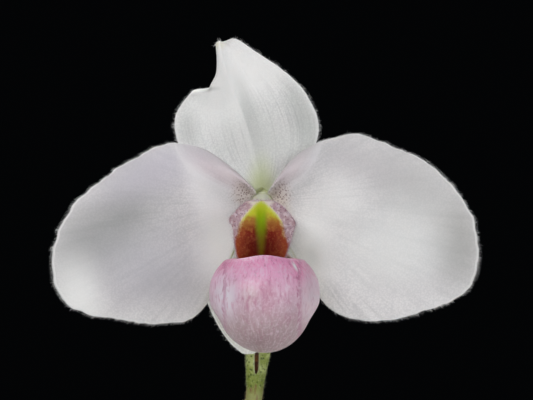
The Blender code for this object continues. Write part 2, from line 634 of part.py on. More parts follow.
def build_column(finish):
    """The column: a short stalk that carries the shield, with the broad stigma under it."""
    path = even_curve(COLUMN_PATH, len(COLUMN_RADII))
    column = add_object("column", tube(rings_along(path, COLUMN_RADII, COLUMN_SIDES)), finish, BLOOM)
    stalk = tube(rings_along(STALK_PATH, STALK_RADII, STALK_SIDES))
    join_into(column, add_object("stalk", stalk, finish, BLOOM))
    join_into(column, egg("stigma", STIGMA_HALF, finish, BLOOM + STIGMA_CENTRE))


def build_anthers(finish):
    """Two pollen masses, one on each side of the column under the shield."""
    for name, side in (("anther_left", -1), ("anther_right", 1)):
        x = COLUMN_MIDDLE_X + side * ANTHER_CENTRE.x
        egg(name, ANTHER_HALF, finish, BLOOM + Vector((x, ANTHER_CENTRE.y, ANTHER_CENTRE.z)))


def build_all():
    clear_scene()
    build_vase(material("clear_glass", (0.86, 0.93, 0.92), 0.05, alpha=0.35, transmission=1.0))
    build_water(material("water", (0.80, 0.90, 0.93), 0.02, alpha=0.4, transmission=1.0),
                build_stem_cutter())
    build_stem(material("stem_green", (0.22, 0.30, 0.06), 0.6))
    build_bract(material("bract_green", (0.30, 0.38, 0.10), 0.6))
    build_ovary(material("ovary_brown", (0.20, 0.13, 0.05), 0.6))
    white = material("petal_white", (0.80, 0.78, 0.80), 0.55)
    build_petals(white)
    build_upper_sepal(white)
    build_lower_sepal(white)
    build_pouch(material("pouch_pink", (0.68, 0.36, 0.50), 0.45))
    build_shield(material("shield_maroon", (0.30, 0.05, 0.02), 0.4))
    build_column(material("column_pale", (0.62, 0.66, 0.36), 0.5))
    build_anthers(material("pollen_yellow", (0.75, 0.58, 0.12), 0.6))


build_all()
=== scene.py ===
# %% [markdown]
# A white slipper orchid on its cut stem, in a bud vase of clear glass.
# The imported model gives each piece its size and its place. This script loads it and makes the fine
# surface of every piece again where the plain one stands: thin petals with soft margins, a blown
# pouch, ribs, hairs and veins, glass and water. Lengths are in millimetres until a mesh is made.

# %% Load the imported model
import math

import bpy
import numpy as np
from mathutils import Matrix, Vector, noise
from mathutils.bvhtree import BVHTree


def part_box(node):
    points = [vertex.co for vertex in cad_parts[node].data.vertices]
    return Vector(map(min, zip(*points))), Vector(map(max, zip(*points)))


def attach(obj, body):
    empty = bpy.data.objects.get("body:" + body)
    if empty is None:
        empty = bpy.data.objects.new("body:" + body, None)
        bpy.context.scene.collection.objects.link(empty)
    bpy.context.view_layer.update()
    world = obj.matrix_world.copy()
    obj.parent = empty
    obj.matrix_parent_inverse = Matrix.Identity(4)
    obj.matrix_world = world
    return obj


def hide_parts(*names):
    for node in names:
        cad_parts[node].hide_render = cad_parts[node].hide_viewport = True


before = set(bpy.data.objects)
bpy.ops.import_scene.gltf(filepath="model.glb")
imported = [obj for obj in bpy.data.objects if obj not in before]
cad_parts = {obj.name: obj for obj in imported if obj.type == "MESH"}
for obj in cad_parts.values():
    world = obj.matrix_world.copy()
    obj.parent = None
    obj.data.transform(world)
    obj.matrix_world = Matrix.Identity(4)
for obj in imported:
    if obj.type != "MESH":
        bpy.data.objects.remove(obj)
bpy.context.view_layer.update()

bpy.ops.object.select_all(action="DESELECT")
MM = 0.001
FLOWER = Vector((15.9, -7.5, 222.0))  # where sepals, petals, pouch and column join
print("nodes:", ", ".join(sorted(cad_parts)))

# %% [markdown]
# The camera comes first, so that every look at the work has the same view.
# The bloom fills a frame 112 mm wide. A long lens from half a metre away gives the flat, calm
# perspective of a flower portrait, and the camera looks level at the middle of the bloom.

# %% Camera
VIEW_WIDTH = 111.93  # of the frame at the bloom
VIEW_DISTANCE = 550.0
VIEW_CENTRE = Vector((16.85, -11.0, 222.6))
SENSOR_WIDTH = 36.0

bpy.ops.object.camera_add(rotation=(math.pi / 2, 0.0, 0.0))
camera = bpy.context.object
camera.location = (VIEW_CENTRE - Vector((0.0, VIEW_DISTANCE, 0.0))) * MM
camera.data.sensor_width = SENSOR_WIDTH
camera.data.lens = SENSOR_WIDTH * VIEW_DISTANCE / VIEW_WIDTH
camera.data.clip_start = 0.01
bpy.context.scene.camera = camera
print(f"camera lens {camera.data.lens:.1f} mm")

# %% [markdown]
# Every outline of a flower is a soft curve through a few places, so one curve function serves them all.
# It passes through each given place and bends evenly between them, as a thin batten held by pins does.

# %% Curves
CURVE_STEPS = 400


def smooth_curve(points, count):
    """count points on the curve through the given ones, evenly spread over the spans."""
    ends = [tuple(2 * a - b for a, b in zip(points[0], points[1]))] + list(points)
    ends.append(tuple(2 * a - b for a, b in zip(points[-1], points[-2])))
    made = []
    for n in range(count):
        place = n * (len(points) - 1) / (count - 1)
        k = min(int(place), len(points) - 2)
        t = place - k
        made.append(tuple(
            0.5 * (2 * p1 + (p2 - p0) * t + (2 * p0 - 5 * p1 + 4 * p2 - p3) * t * t
                   + (3 * p1 - p0 - 3 * p2 + p3) * t ** 3)
            for p0, p1, p2, p3 in zip(*ends[k:k + 4])))
    return made


def even_curve(points, count):
    """count points at equal distances along the curve through the given ones."""
    fine = [Vector(p) for p in smooth_curve(points, CURVE_STEPS)]
    reach = [0.0]
    for a, b in zip(fine, fine[1:]):
        reach.append(reach[-1] + (b - a).length)
    made, k = [], 0
    for n in range(count):
        wanted = reach[-1] * n / (count - 1)
        while k < len(reach) - 2 and reach[k + 1] < wanted:
            k += 1
        share = (wanted - reach[k]) / max(reach[k + 1] - reach[k], 1e-9)
        made.append(fine[k].lerp(fine[k + 1], min(max(share, 0.0), 1.0)))
    return made


def flat_curve(points, count):
    """Evenly placed points in the plane y = 0 on the curve through (x, z) points."""
    return even_curve([(x, 0.0, z) for x, z in points], count)


def smooth_value(values, share):
    """The value at a share, from 0 to 1, of the curve through evenly placed values."""
    table = smooth_curve([(v,) for v in values], CURVE_STEPS + 1)
    place = min(max(share, 0.0), 1.0) * CURVE_STEPS
    k = min(int(place), CURVE_STEPS - 1)
    return table[k][0] + (table[k + 1][0] - table[k][0]) * (place - k)


def smooth_values(tables, share):
    return [smooth_value(values, share) for values in tables]


def smooth_step(value):
    """From 0 to 1 with a soft start and a soft end."""
    held = min(max(value, 0.0), 1.0)
    return held * held * (3 - 2 * held)


# %% [markdown]
# Petals, sepals, pouch and sheath are all grown from a flat sheet of tissue.
# Blender's grid is such a sheet, so each of them starts as a grid primitive. Its points are moved
# row by row to places on the flower, its seams are welded, and modifiers give it thickness and a
# rounded margin. The grid brings a UV map along, which later guides the veins from root to margin.

# %% Sheets of tissue
WELD = 0.0000005
GRAIN_SEED = Vector((3.1, 7.7, 1.9))
MARGIN_THICKNESS = 0.25  # share of a blade's thickness that is left at its margin


def skin_over(name, rows):
    """A grid primitive whose points are moved to rows of places in millimetres."""
    across = len(rows[0]) - 1
    along = len(rows) - 1
    bpy.ops.object.select_all(action="DESELECT")
    bpy.ops.mesh.primitive_grid_add(x_subdivisions=across, y_subdivisions=along, size=1.0)
    piece = bpy.context.object
    piece.name = piece.data.name = name
    for point in piece.data.vertices:
        k = round((point.co.x + 0.5) * across)
        n = round((point.co.y + 0.5) * along)
        point.co = rows[n][k] * MM
    return piece


def weld(piece):
    """Merges the points that lie on each other and turns the faces the same way."""
    bpy.context.view_layer.objects.active = piece
    bpy.ops.object.mode_set(mode="EDIT")
    bpy.ops.mesh.select_all(action="SELECT")
    bpy.ops.mesh.remove_doubles(threshold=WELD)
    bpy.ops.mesh.normals_make_consistent(inside=False)
    bpy.ops.object.mode_set(mode="OBJECT")
    return piece


def finish_by(piece, kind, **settings):
    """Adds a modifier with its settings and applies it."""
    bpy.context.view_layer.objects.active = piece
    modifier = piece.modifiers.new(kind.lower(), kind)
    for name, value in settings.items():
        setattr(modifier, name, value)
    bpy.ops.object.modifier_apply(modifier=modifier.name)
    return piece


def grow_blade(name, rows, thickness, thinness):
    """A blade that gets thinner towards its margin, with a rounded edge.

    thinness(n, k) goes from 0 to 1, the thinnest, at a point of the grid."""
    piece = skin_over(name, rows)
    across = len(rows[0])
    flesh = piece.vertex_groups.new(name="flesh")
    for point in piece.data.vertices:
        n, k = divmod(point.index, across)
        flesh.add([point.index], 1.0 - thinness(n, k), "REPLACE")
    weld(piece)
    finish_by(piece, "SOLIDIFY", thickness=thickness * MM, offset=0.0, vertex_group="flesh",
              thickness_vertex_group=MARGIN_THICKNESS)
    finish_by(piece, "SUBSURF", levels=1, render_levels=1)
    piece.vertex_groups.clear()
    bpy.ops.object.shade_smooth()
    return piece


def tissue_noise(point, size):
    """A soft irregular swelling between about -1 and 1, with lumps of a size in millimetres."""
    return noise.noise(point / size + GRAIN_SEED)

# %% [markdown]
# Colours are picked as a painter reads them, in sRGB, and a renderer counts in linear light, so one
# function turns the one into the other. Another adds a shader node with its settings and links in
# one line. The last two are a painter's two moves: a soft oval place, and a coat of colour that
# covers the ground where a value says so.

# %% Colours and nodes


def linear(hex_colour):
    """An sRGB hex colour as linear red, green, blue and an alpha of 1."""
    parts = [int(hex_colour[k:k + 2], 16) / 255 for k in (1, 3, 5)]
    return tuple(c / 12.92 if c <= 0.04045 else ((c + 0.055) / 1.055) ** 2.4 for c in parts) + (1.0,)


def add_node(tree, kind, settings, output=0):
    """Adds a node and returns one of its outputs.

    A setting is a property, a socket's value or hex colour, or the output to link to a socket."""
    node = tree.nodes.new("ShaderNode" + kind)
    for key, value in settings.items():
        if key == "stops":
            for n, (place, colour) in enumerate(value):
                marks = node.color_ramp.elements
                mark = marks[n] if n < len(marks) else marks.new(place)
                mark.position, mark.color = place, linear(colour)
        elif isinstance(value, bpy.types.NodeSocket):
            tree.links.new(value, node.inputs[key])
        elif str(key) in node.bl_rna.properties:
            setattr(node, key, value)
        else:
            node.inputs[key].default_value = linear(value) if isinstance(value, str) else value
    return node.outputs[output]


def new_material(name, **sockets):
    """A Principled material and its node tree, with plain values on the shader's own sockets."""
    made = bpy.data.materials.new(name)
    made.use_nodes = True
    shader = made.node_tree.nodes["Principled BSDF"]
    for key, value in sockets.items():
        socket = shader.inputs[key.replace("_", " ")]
        socket.default_value = linear(value) if isinstance(value, str) else value
    return made, made.node_tree, shader


def place_in_mm(tree, centre):
    """Object coordinates in millimetres, counted from a centre given in millimetres."""
    place = add_node(tree, "TexCoord", {}, "Object")
    return add_node(tree, "Mapping", {"Vector": place, "Scale": (1000.0,) * 3, "Location": -centre})


def oval_patch(tree, place, centre, half_size, turn=0.0):
    """A share of 1 in the middle of an oval, seen from the front, which fades out at its edge."""
    FLAT = 100000.0  # so large that the depth doesn't count
    inside = add_node(tree, "Mapping", {
        "vector_type": "TEXTURE", "Vector": place, "Location": (centre[0], 0.0, centre[1]),
        "Rotation": (0.0, -math.radians(turn), 0.0), "Scale": (half_size[0], FLAT, half_size[1])})
    reach = add_node(tree, "VectorMath", {"operation": "LENGTH", 0: inside}, "Value")
    return add_node(tree, "MapRange", {"interpolation_type": "SMOOTHSTEP", "Value": reach,
                                       "From Min": 1.1, "From Max": 0.05})


def coat(tree, ground, paint, value, start, end, most=1.0):
    """Lays paint over the ground: none where the value is at start, and up to most of it at end."""
    share = add_node(tree, "MapRange", {"interpolation_type": "SMOOTHSTEP", "Value": value,
                                        "From Min": start, "From Max": end, "To Max": most})
    return add_node(tree, "MixRGB", {"Fac": share, "Color1": ground, "Color2": paint})


def roughen(tree, shader, height, strength, depth):
    """Lets a height in the pattern stand out from the surface by a depth in millimetres."""
    bump = add_node(tree, "Bump", {"Height": height, "Strength": strength, "Distance": depth * MM})
    tree.links.new(bump, shader.inputs["Normal"])

# %% [markdown]
# Petal tissue is a thin layer of clear cells filled with sap and air, so it looks white and lets
# light through. Subsurface scattering gives that, with a reach of about the petal's own thickness.
# Its skin cells bulge like tiny lenses, which glisten. Real ones are 0.05 mm wide, too fine to show,
# so they are drawn at 0.4 mm, as a bump and as a grey coat that gives their grain and paints their
# glint. Veins run from the root to the margin and follow the UV map. Soft ovals of painted shade and
# painted light lie over the blades' dents, roots and far sides, with a few tints of the tissue's own.

# %% Petal tissue
CELL_SIZE = 0.4
CLOUD_SIZE = 7.0
VEINS_ACROSS = 70.0
SPECK_SIZE = 0.42
RIM_LIGHT_START = 0.982  # share of the way from the root where the painted rim light begins


def petal_tissue(name, tint, vein_share):
    """White petal tissue with glistening cells, their glint partly painted, and faint veins. Returns what
    later coats need.
    """
    made, tree, shader = new_material(
        name, Roughness=0.55, Subsurface_Weight=0.7, Subsurface_Radius=(1.0, 0.94, 0.92),
        Subsurface_Scale=0.0009, Specular_IOR_Level=0.3, Sheen_Weight=0.1, Sheen_Roughness=0.4)
    place = place_in_mm(tree, FLOWER)
    clouds = add_node(tree, "TexNoise", {"Vector": place, "Scale": 1 / CLOUD_SIZE, "Detail": 4.0})
    colour = coat(tree, tint, "#EEECEE", clouds, 0.36, 0.68, 0.6)
    uv = add_node(tree, "TexCoord", {}, "UV")
    along = add_node(tree, "Mapping", {"Vector": uv, "Scale": (VEINS_ACROSS, 2.2, 1.0)})
    veins = add_node(tree, "TexNoise", {"Vector": along, "Scale": 1.0, "Detail": 2.0, "Distortion": 0.3})
    broken = add_node(tree, "MapRange", {"Value": clouds, "From Min": 0.35, "From Max": 0.6,
                                         "To Min": 0.2 * vein_share, "To Max": vein_share})
    colour = coat(tree, colour, "#A9ACAE", veins, 0.46, 0.66, broken)
    cells = add_node(tree, "TexVoronoi", {"Vector": place, "Scale": 1 / CELL_SIZE})
    # A grey coat in the cell pattern gives the skin's grain and paints the glint of its cells.
    colour = coat(tree, colour, "#A6A8AE", cells, 0.2, 0.75, 0.25)
    skin = add_node(tree, "MixRGB", {"Fac": 0.4, "Color1": cells, "Color2": veins})
    roughen(tree, shader, skin, 0.35, 0.12)
    return made, tree, shader, place, colour


def toned(tree, place, colour, tones):
    """Lays soft ovals of painted shade, painted light and tint over a colour. A tone is (centre, half size,
    turn, colour, share).
    """
    for centre, half_size, turn, paint, most in tones:
        patch = oval_patch(tree, place, centre, half_size, turn)
        share = add_node(tree, "MapRange", {"Value": patch, "To Max": most})
        colour = add_node(tree, "MixRGB", {"Fac": share, "Color1": colour, "Color2": paint})
    return colour


def pale_rim(tree, colour, most):
    """Paints rim light on the margin, which is so thin that light from behind makes it the palest part of the
    blade.
    """
    uv = add_node(tree, "TexCoord", {}, "UV")
    outward = add_node(tree, "SeparateXYZ", {"Vector": uv}, "Y")
    return coat(tree, colour, "#FFFFFF", outward, RIM_LIGHT_START, 0.99, most)


# Ovals of painted shade and painted light over the petals' dents, roots and far sides, and a few lilac tints.
PETAL_SHADE_LIGHT_AND_TINTS = [
    ((-32.0, -5.0), (20.0, 11.0), 42.0, "#9C9FA0", 0.68),
    ((-40.0, -9.0), (8.0, 12.0), 0.0, "#A4A6A8", 0.6),
    ((-38.6, -20.5), (8.0, 13.0), 0.0, "#FFFFFF", 0.75),
    ((-23.0, 8.0), (20.0, 9.0), 20.0, "#CBC7D4", 0.6),
    ((-22.0, -15.0), (18.0, 13.0), 0.0, "#C0C0C8", 0.6),
    ((-12.5, 3.0), (4.5, 13.0), 18.0, "#FFFBFF", 0.6),
    ((-9.6, -7.5), (7.0, 13.0), 0.0, "#FBFAFF", 0.85),
    ((-7.0, 6.2), (7.0, 2.2), -38.0, "#FFFFFF", 0.6),
    ((7.6, 8.6), (6.4, 2.2), 45.0, "#F0EDEE", 0.5),
    ((42.0, -8.0), (9.0, 16.0), 0.0, "#959796", 0.75),
    ((33.0, 3.0), (14.0, 12.0), -35.0, "#C2C4C3", 0.5),
    ((22.0, 9.0), (18.0, 9.0), -15.0, "#D0CED0", 0.5),
    ((15.4, 1.0), (9.0, 8.0), 20.0, "#FFFFFF", 0.5),
    ((10.6, -9.5), (6.5, 12.0), 0.0, "#FFFFFF", 0.8),
    ((27.0, -9.0), (19.0, 14.0), 0.0, "#F4F6F5", 0.6),
]
SPECKLED = [(-3.9, 2.1), (3.7, 1.8)]  # middles of the speckled places at the petals' roots
YELLOWED = [(-5.0, -11.4), (4.6, -11.3)]  # middles of the yellow places beside the pouch's rim


def petal_finish():
    """Petals: lilac white with painted shade and light, painted shade where a sepal lies behind, with specks
    at the root.
    """
    made, tree, shader, place, colour = petal_tissue("petal_tissue", "#DCDADD", 0.25)
    colour = toned(tree, place, colour, PETAL_SHADE_LIGHT_AND_TINTS)
    behind = add_node(tree, "Attribute", {"attribute_name": "sepal_behind"}, "Fac")
    # A paler band of painted light along the hidden margin of the sepal behind.
    edge = add_node(tree, "MapRange", {"Value": behind, "From Min": 0.75, "From Max": 0.3, "To Max": 0.6})
    colour = coat(tree, colour, "#F4F1F6", behind, 0.0, 0.4, edge)
    # Painted shade where the sepal behind keeps light from shining through the petal.
    near = oval_patch(tree, place, (-3.0, 6.0), (20.0, 11.0))
    shaded = add_node(tree, "MapRange", {"Value": near, "To Min": 0.15, "To Max": 0.6})
    colour = coat(tree, colour, "#DCC9D2", behind, 0.1, 1.0, shaded)
    warm = oval_patch(tree, place, (1.3, -4.5), (7.4, 10.5))
    colour = coat(tree, colour, "#DACFBE", warm, 0.1, 0.8, 0.8)
    dots = add_node(tree, "TexVoronoi", {"Vector": place, "Scale": 1 / SPECK_SIZE})
    for centre in SPECKLED:
        patch = oval_patch(tree, place, centre, (3.6, 4.1))
        colour = coat(tree, colour, "#D2C2BC", patch, 0.0, 1.0, 0.5)
        specks = add_node(tree, "MapRange", {"Value": patch, "To Max": 0.85})
        colour = coat(tree, colour, "#6E464A", dots, 0.46, 0.22, specks)
    for centre in YELLOWED:
        patch = oval_patch(tree, place, centre, (2.0, 2.6))
        colour = coat(tree, colour, "#C9CC62", patch, 0.0, 0.8, 0.75)
    # Painted rim light along the margin.
    colour = pale_rim(tree, colour, 0.4)
    tree.links.new(colour, shader.inputs["Base Color"])
    return made


# Ovals of painted light on the facet left of the keel and near the tip, painted shade beside the keel, on
# both sides, low in the middle and in the fold, a pale yellow tip and a green root.
SEPAL_SHADE_LIGHT_AND_TINTS = [
    ((-9.5, 23.0), (8.0, 12.0), -15.0, "#FFFFFF", 0.8),
    ((-2.5, 29.0), (12.0, 10.0), 35.0, "#FFFFFF", 1.0),
    ((-0.5, 13.0), (14.0, 11.0), 0.0, "#CBCCCA", 0.5),
    ((-16.0, 15.0), (4.0, 7.0), 0.0, "#B9BCBB", 0.45),
    ((-3.4, 21.0), (2.6, 13.0), 17.0, "#BBBEBD", 0.4),
    ((-7.4, 26.0), (2.2, 6.0), 15.0, "#FFFFFF", 0.9),
    ((9.4, 18.0), (5.0, 14.0), 20.0, "#A8ADAB", 0.6),
    ((-12.6, 24.1), (4.2, 0.8), 3.0, "#B4B8B6", 0.9),
    ((-9.3, 33.6), (2.0, 2.0), 0.0, "#EEEBCB", 0.6),
    ((-0.1, 2.8), (4.2, 9.0), 0.0, "#C3CB9E", 0.85),
]


def sepal_finish():
    """Sepals: a cooler white with painted shade beside the keel of the midrib, painted light on its left
    facet and margins, and a green glow at the root.
    """
    made, tree, shader, place, colour = petal_tissue("sepal_tissue", "#EEF0EF", 0.4)
    colour = toned(tree, place, colour, SEPAL_SHADE_LIGHT_AND_TINTS)
    uv = add_node(tree, "TexCoord", {}, "UV")
    across = add_node(tree, "SeparateXYZ", {"Vector": uv}, "X")
    outward = add_node(tree, "SeparateXYZ", {"Vector": uv}, "Y")
    # Painted light on the facet left of the keel, which faces the key lamp.
    keel = add_node(tree, "MapRange", {"Value": outward, "From Min": 0.1, "From Max": 0.6, "To Max": 0.6})
    lit = add_node(tree, "MapRange", {"Value": across, "From Min": 0.36, "From Max": 0.49, "To Max": keel})
    colour = coat(tree, colour, "#FFFFFF", across, 0.515, 0.488, lit)
    # Painted rim light along both margins.
    for start, end in ((0.03, 0.0), (0.97, 1.0)):
        colour = coat(tree, colour, "#FFFFFF", across, start, end, 0.4)
    tree.links.new(colour, shader.inputs["Base Color"])
    return made


petal_white = petal_finish()
sepal_white = sepal_finish()
print("petal and sepal tissue ready")

# %% [markdown]
# A petal fans out from the boss in the middle of the bloom, so its grid runs round the boss in one
# direction and from root to margin in the other. It is cupped forward, flares back at the margin
# and has a few soft dents. Small irregular swellings and a slightly uneven margin make it look grown.

# %% Shape of the petals
ROOT_REACH = 2.2
PETAL_ROWS = 26
PETAL_COLUMNS = 220
BLADE_THICK = 0.5
PETALS = {
    # base: from where to where it stands round the boss, in degrees from +X
    # margin: from the upper end of the base round to the lower one, as (x, z)
    # cup, flare, tilt, ripple and hollows: how the blade leaves its plane
    "left": {
        "base": (122.0, 238.0),
        "margin": [(-2.2, 3.5), (-4.6, 5.8), (-7.4, 8.2), (-11.4, 10.9), (-17.0, 12.5), (-22.0, 11.8),
                   (-28.0, 8.7), (-34.0, 4.7), (-38.6, 0.7), (-41.9, -4.0), (-43.9, -9.4), (-43.9, -14.8),
                   (-42.2, -19.3), (-38.9, -22.5), (-33.4, -24.0), (-27.0, -24.9), (-20.4, -25.3),
                   (-15.3, -24.4), (-11.6, -21.2), (-9.0, -16.2), (-5.6, -8.4), (-2.9, -3.8)],
        "cup": 3.4, "flare": 3.0, "tilt": 0.035, "ripple": (0.35, 31.0, 0.0),
        "hollows": [(-32, -7, 8.5, 2.0), (-37, -20, 6.5, -1.6), (-18, -4, 8.0, -0.6)]},
    "right": {
        "base": (58.0, -58.0),
        "margin": [(2.2, 3.4), (3.8, 6.0), (6.2, 9.0), (9.6, 11.7), (14.2, 13.4), (20.8, 14.5),
                   (27.0, 12.0), (33.2, 9.4), (38.0, 5.6), (42.0, 0.8), (44.6, -4.4), (45.5, -11.2),
                   (44.3, -16.4), (40.8, -20.0), (34.6, -22.6), (27.6, -24.4), (21.6, -24.8),
                   (16.2, -23.4), (12.2, -20.0), (9.0, -14.6), (5.6, -8.0), (2.9, -3.8)],
        "cup": 3.3, "flare": 2.8, "tilt": 0.045, "ripple": (0.3, 27.0, 1.0),
        "hollows": [(25, 6, 8.5, 1.2), (40, -9, 6.0, 1.3), (32, -19, 8.0, -1.0)]},
}
BASE_DEPTH = -1.7
TILT_ABOUT = -8.0
ROW_CROWDING = 0.85
MARGIN_WANDER = ((4.2, 0.4), (1.6, 0.38))  # length and depth of the margin's small waves
MARGIN_PUSH = 0.15  # what rounding the margin takes away
SWELLINGS = ((6.5, 0.16), (2.2, 0.05))  # size and height of the small swellings


def petal_depth(petal, point, share, around):
    """How far behind the flower's middle a point of a petal lies."""
    cupped = petal["cup"] * math.sin(min(1.0, share * 1.5) * math.pi / 2)
    depth = BASE_DEPTH - cupped + petal["flare"] * share ** 3
    depth += petal["tilt"] * (point.z - TILT_ABOUT) * share
    height, waves, start = petal["ripple"]
    depth += height * share ** 5 * math.sin(around * waves + start)
    for x, z, spread, amount in petal["hollows"]:
        depth += amount * math.exp(-((point.x - x) ** 2 + (point.z - z) ** 2) / spread ** 2)
    for size, height in SWELLINGS:
        depth += height * share * tissue_noise(point, size)
    return depth


def wander(point):
    """How far the margin stands out or in at a point."""
    return sum(depth * tissue_noise(point, length) for length, depth in MARGIN_WANDER)


def petal_rows(petal):
    """Rows of places from the root to the margin, each row running round the boss."""
    edge = flat_curve(petal["margin"], PETAL_COLUMNS + 1)
    first, last = petal["base"]
    rows = []
    for n in range(PETAL_ROWS + 1):
        share = (n / PETAL_ROWS) ** ROW_CROWDING
        row = []
        for k, end in enumerate(edge):
            around = k / PETAL_COLUMNS
            angle = math.radians(first + (last - first) * around)
            start = Vector((math.cos(angle), 0.0, math.sin(angle))) * ROOT_REACH
            stretch = (wander(end) + MARGIN_PUSH) * share ** 8 / end.length
            point = start.lerp(end * (1.0 + stretch), share)
            point.y = petal_depth(petal, point, share, around)
            row.append(FLOWER + point)
        rows.append(row)
    return rows


def petal_thinness(n, k):
    return (n / PETAL_ROWS) ** 3


petal_grids = {side: petal_rows(petal) for side, petal in PETALS.items()}
petals = {side: grow_blade(f"{side}_petal", rows, BLADE_THICK, petal_thinness)
          for side, rows in petal_grids.items()}
print("petals:", {side: len(piece.data.polygons) for side, piece in petals.items()})

# %% [markdown]
# The upper sepal has a keel along its midrib, and its left margin turns back near the tip.
# A fold is easiest to get right across the blade: each row is laid flat, and the part beyond the
# crease runs round a small arc and on behind. Rows from root to tip then make the whole blade.

# %% Shape of the upper sepal
SEPAL_MIDRIB = [(0.0, 3.2), (-0.5, 6.0), (-1.5, 10.0), (-2.7, 14.5), (-4.1, 18.7), (-5.3, 21.9),
                (-6.2, 24.3), (-7.3, 27.2), (-8.2, 30.4), (-8.7, 32.7), (-8.9, 34.2)]
SEPAL_RIGHT = [(2.5, 1.7), (7.2, 5.0), (10.8, 10.4), (12.0, 15.8), (11.1, 20.0), (9.1, 23.6),
               (6.3, 26.5), (2.8, 29.3), (-2.1, 32.5), (-5.6, 34.7), (-8.1, 33.8)]
SEPAL_LEFT = [(-2.5, 1.7), (-8.6, 4.0), (-15.4, 8.4), (-18.1, 15.0), (-17.6, 19.6), (-14.6, 23.5),
              (-10.9, 24.8), (-10.2, 27.4), (-9.7, 30.4), (-9.7, 32.8), (-9.2, 34.2)]
SEPAL_DEPTH = [-0.65, -0.4, 0.8, 1.8, 2.2, 2.0, 1.7, 1.1, 0.5, 0.1, -0.2]
SEPAL_FOLD_ANGLE = [0, 0, 0, 2, 6, 24, 100, 116, 116, 105, 50]
SEPAL_FOLD_START = [1.0, 3.5, 7.0, 8.5, 7.5, 5.4, 4.1, 1.7, 0.6, 0.3, 0.2]
SEPAL_LEFT_WIDTH = [2.9, 8.3, 14.0, 15.8, 14.0, 10.4, 10.6, 9.6, 7.0, 3.6, 0.7]
SEPAL_FOLD_RADIUS = 0.6
SEPAL_ROWS = 76
SEPAL_HALF_COLUMNS = 28
SEPAL_LEAST_WIDTH = 0.4
SEPAL_RISE = 3.0
SEPAL_SLOPE_LEFT = 0.10
SEPAL_CURL_LEFT = 0.0035
SEPAL_ARCH_RIGHT = 0.15
SEPAL_ARCH_SKEW = 0.8
SEPAL_DROP_RIGHT = 0.02
KEEL_HEIGHT = [0.0, 0.02, 0.06, 0.12, 0.2, 0.28, 0.3]  # from root to tip
KEEL_SPREAD = 1.5
RIGHT_ARCH_SHARE = [0.2, 0.25, 0.3, 0.4, 0.55, 0.8, 1.0]  # of the arch, from root to tip
TIP_ROUND_FROM = 0.93
TIP_ROUND = 0.75


def folded(reach, start, turn):
    """(sideways, back) of a point, at reach across a blade that turns back by an angle past start."""
    radius = SEPAL_FOLD_RADIUS
    if reach <= start or turn == 0.0:
        return reach, 0.0
    angle = min((reach - start) / radius, turn)
    rest = reach - start - angle * radius
    sideways = start + radius * math.sin(angle) + rest * math.cos(angle)
    back = radius * (1 - math.cos(angle)) + rest * math.sin(angle)
    return sideways, back


def upper_sepal_rows():
    """Rows of places from root to tip, each row running from the left margin to the right one."""
    outlines = [[p[k] for p in line] for line in (SEPAL_MIDRIB, SEPAL_RIGHT, SEPAL_LEFT) for k in (0, 1)]
    forms = (SEPAL_DEPTH, SEPAL_FOLD_ANGLE, SEPAL_FOLD_START, SEPAL_LEFT_WIDTH)
    rows = []
    for n in range(SEPAL_ROWS + 1):
        share = n / SEPAL_ROWS
        mid_x, mid_z, right_x, right_z, left_x, left_z = smooth_values(outlines, share)
        depth, turn, start, width = smooth_values(forms, share)
        keel, arched = smooth_values((KEEL_HEIGHT, RIGHT_ARCH_SHARE), share)
        rise = min(1.0, SEPAL_RISE * share)
        rounding = TIP_ROUND * smooth_step((share - TIP_ROUND_FROM) / (1.0 - TIP_ROUND_FROM))
        middle = Vector((mid_x, depth, mid_z))
        outward = Vector((left_x - mid_x, 0.0, left_z - mid_z)).normalized()
        row = []
        for k in range(SEPAL_HALF_COLUMNS, 0, -1):
            reach = max(width, SEPAL_LEAST_WIDTH) * k / SEPAL_HALF_COLUMNS
            sideways, back = folded(reach, min(start, width), math.radians(max(turn, 0.0)))
            slope = SEPAL_SLOPE_LEFT * sideways + SEPAL_CURL_LEFT * sideways ** 2
            row.append(middle + outward * sideways + Vector((0.0, back + slope * rise, 0.0)))
        row.append(middle.copy())
        wide = math.hypot(right_x - mid_x, right_z - mid_z)
        for k in range(1, SEPAL_HALF_COLUMNS + 1):
            part = k / SEPAL_HALF_COLUMNS
            point = middle.lerp(Vector((right_x, depth, right_z)), part)
            arch = SEPAL_ARCH_RIGHT * arched * math.sin(math.pi * part ** SEPAL_ARCH_SKEW)
            point.y += wide * (arch + SEPAL_DROP_RIGHT * part) * rise
            row.append(point)
        for k, point in enumerate(row):
            beside = math.hypot(point.x - mid_x, point.z - mid_z)
            point.y -= keel * math.exp(-(beside / KEEL_SPREAD) ** 2) * rise
            if k < SEPAL_HALF_COLUMNS:
                point.z -= rounding * beside ** 2
            margin = abs(k / SEPAL_HALF_COLUMNS - 1.0) ** 8
            if beside > SEPAL_LEAST_WIDTH:
                point += (point - middle) * (0.4 * wander(point) * margin / beside)
            for size, height in SWELLINGS:
                point.y += 0.6 * height * rise * tissue_noise(point, size)
        rows.append([FLOWER + point for point in row])
    return rows


def sepal_thinness(n, k):
    across = abs(k / SEPAL_HALF_COLUMNS - 1.0)
    return max(across ** 3, (n / SEPAL_ROWS) ** 8)


upper_grid = upper_sepal_rows()
upper_sepal = grow_blade("upper_sepal_blade", upper_grid, BLADE_THICK, sepal_thinness)
print("upper sepal:", len(upper_sepal.data.polygons), "faces")

# %% [markdown]
# The two lower sepals have grown together into one blade that cups the pouch from behind.
# From the front only its rim shows, as a pale line beside the pouch.

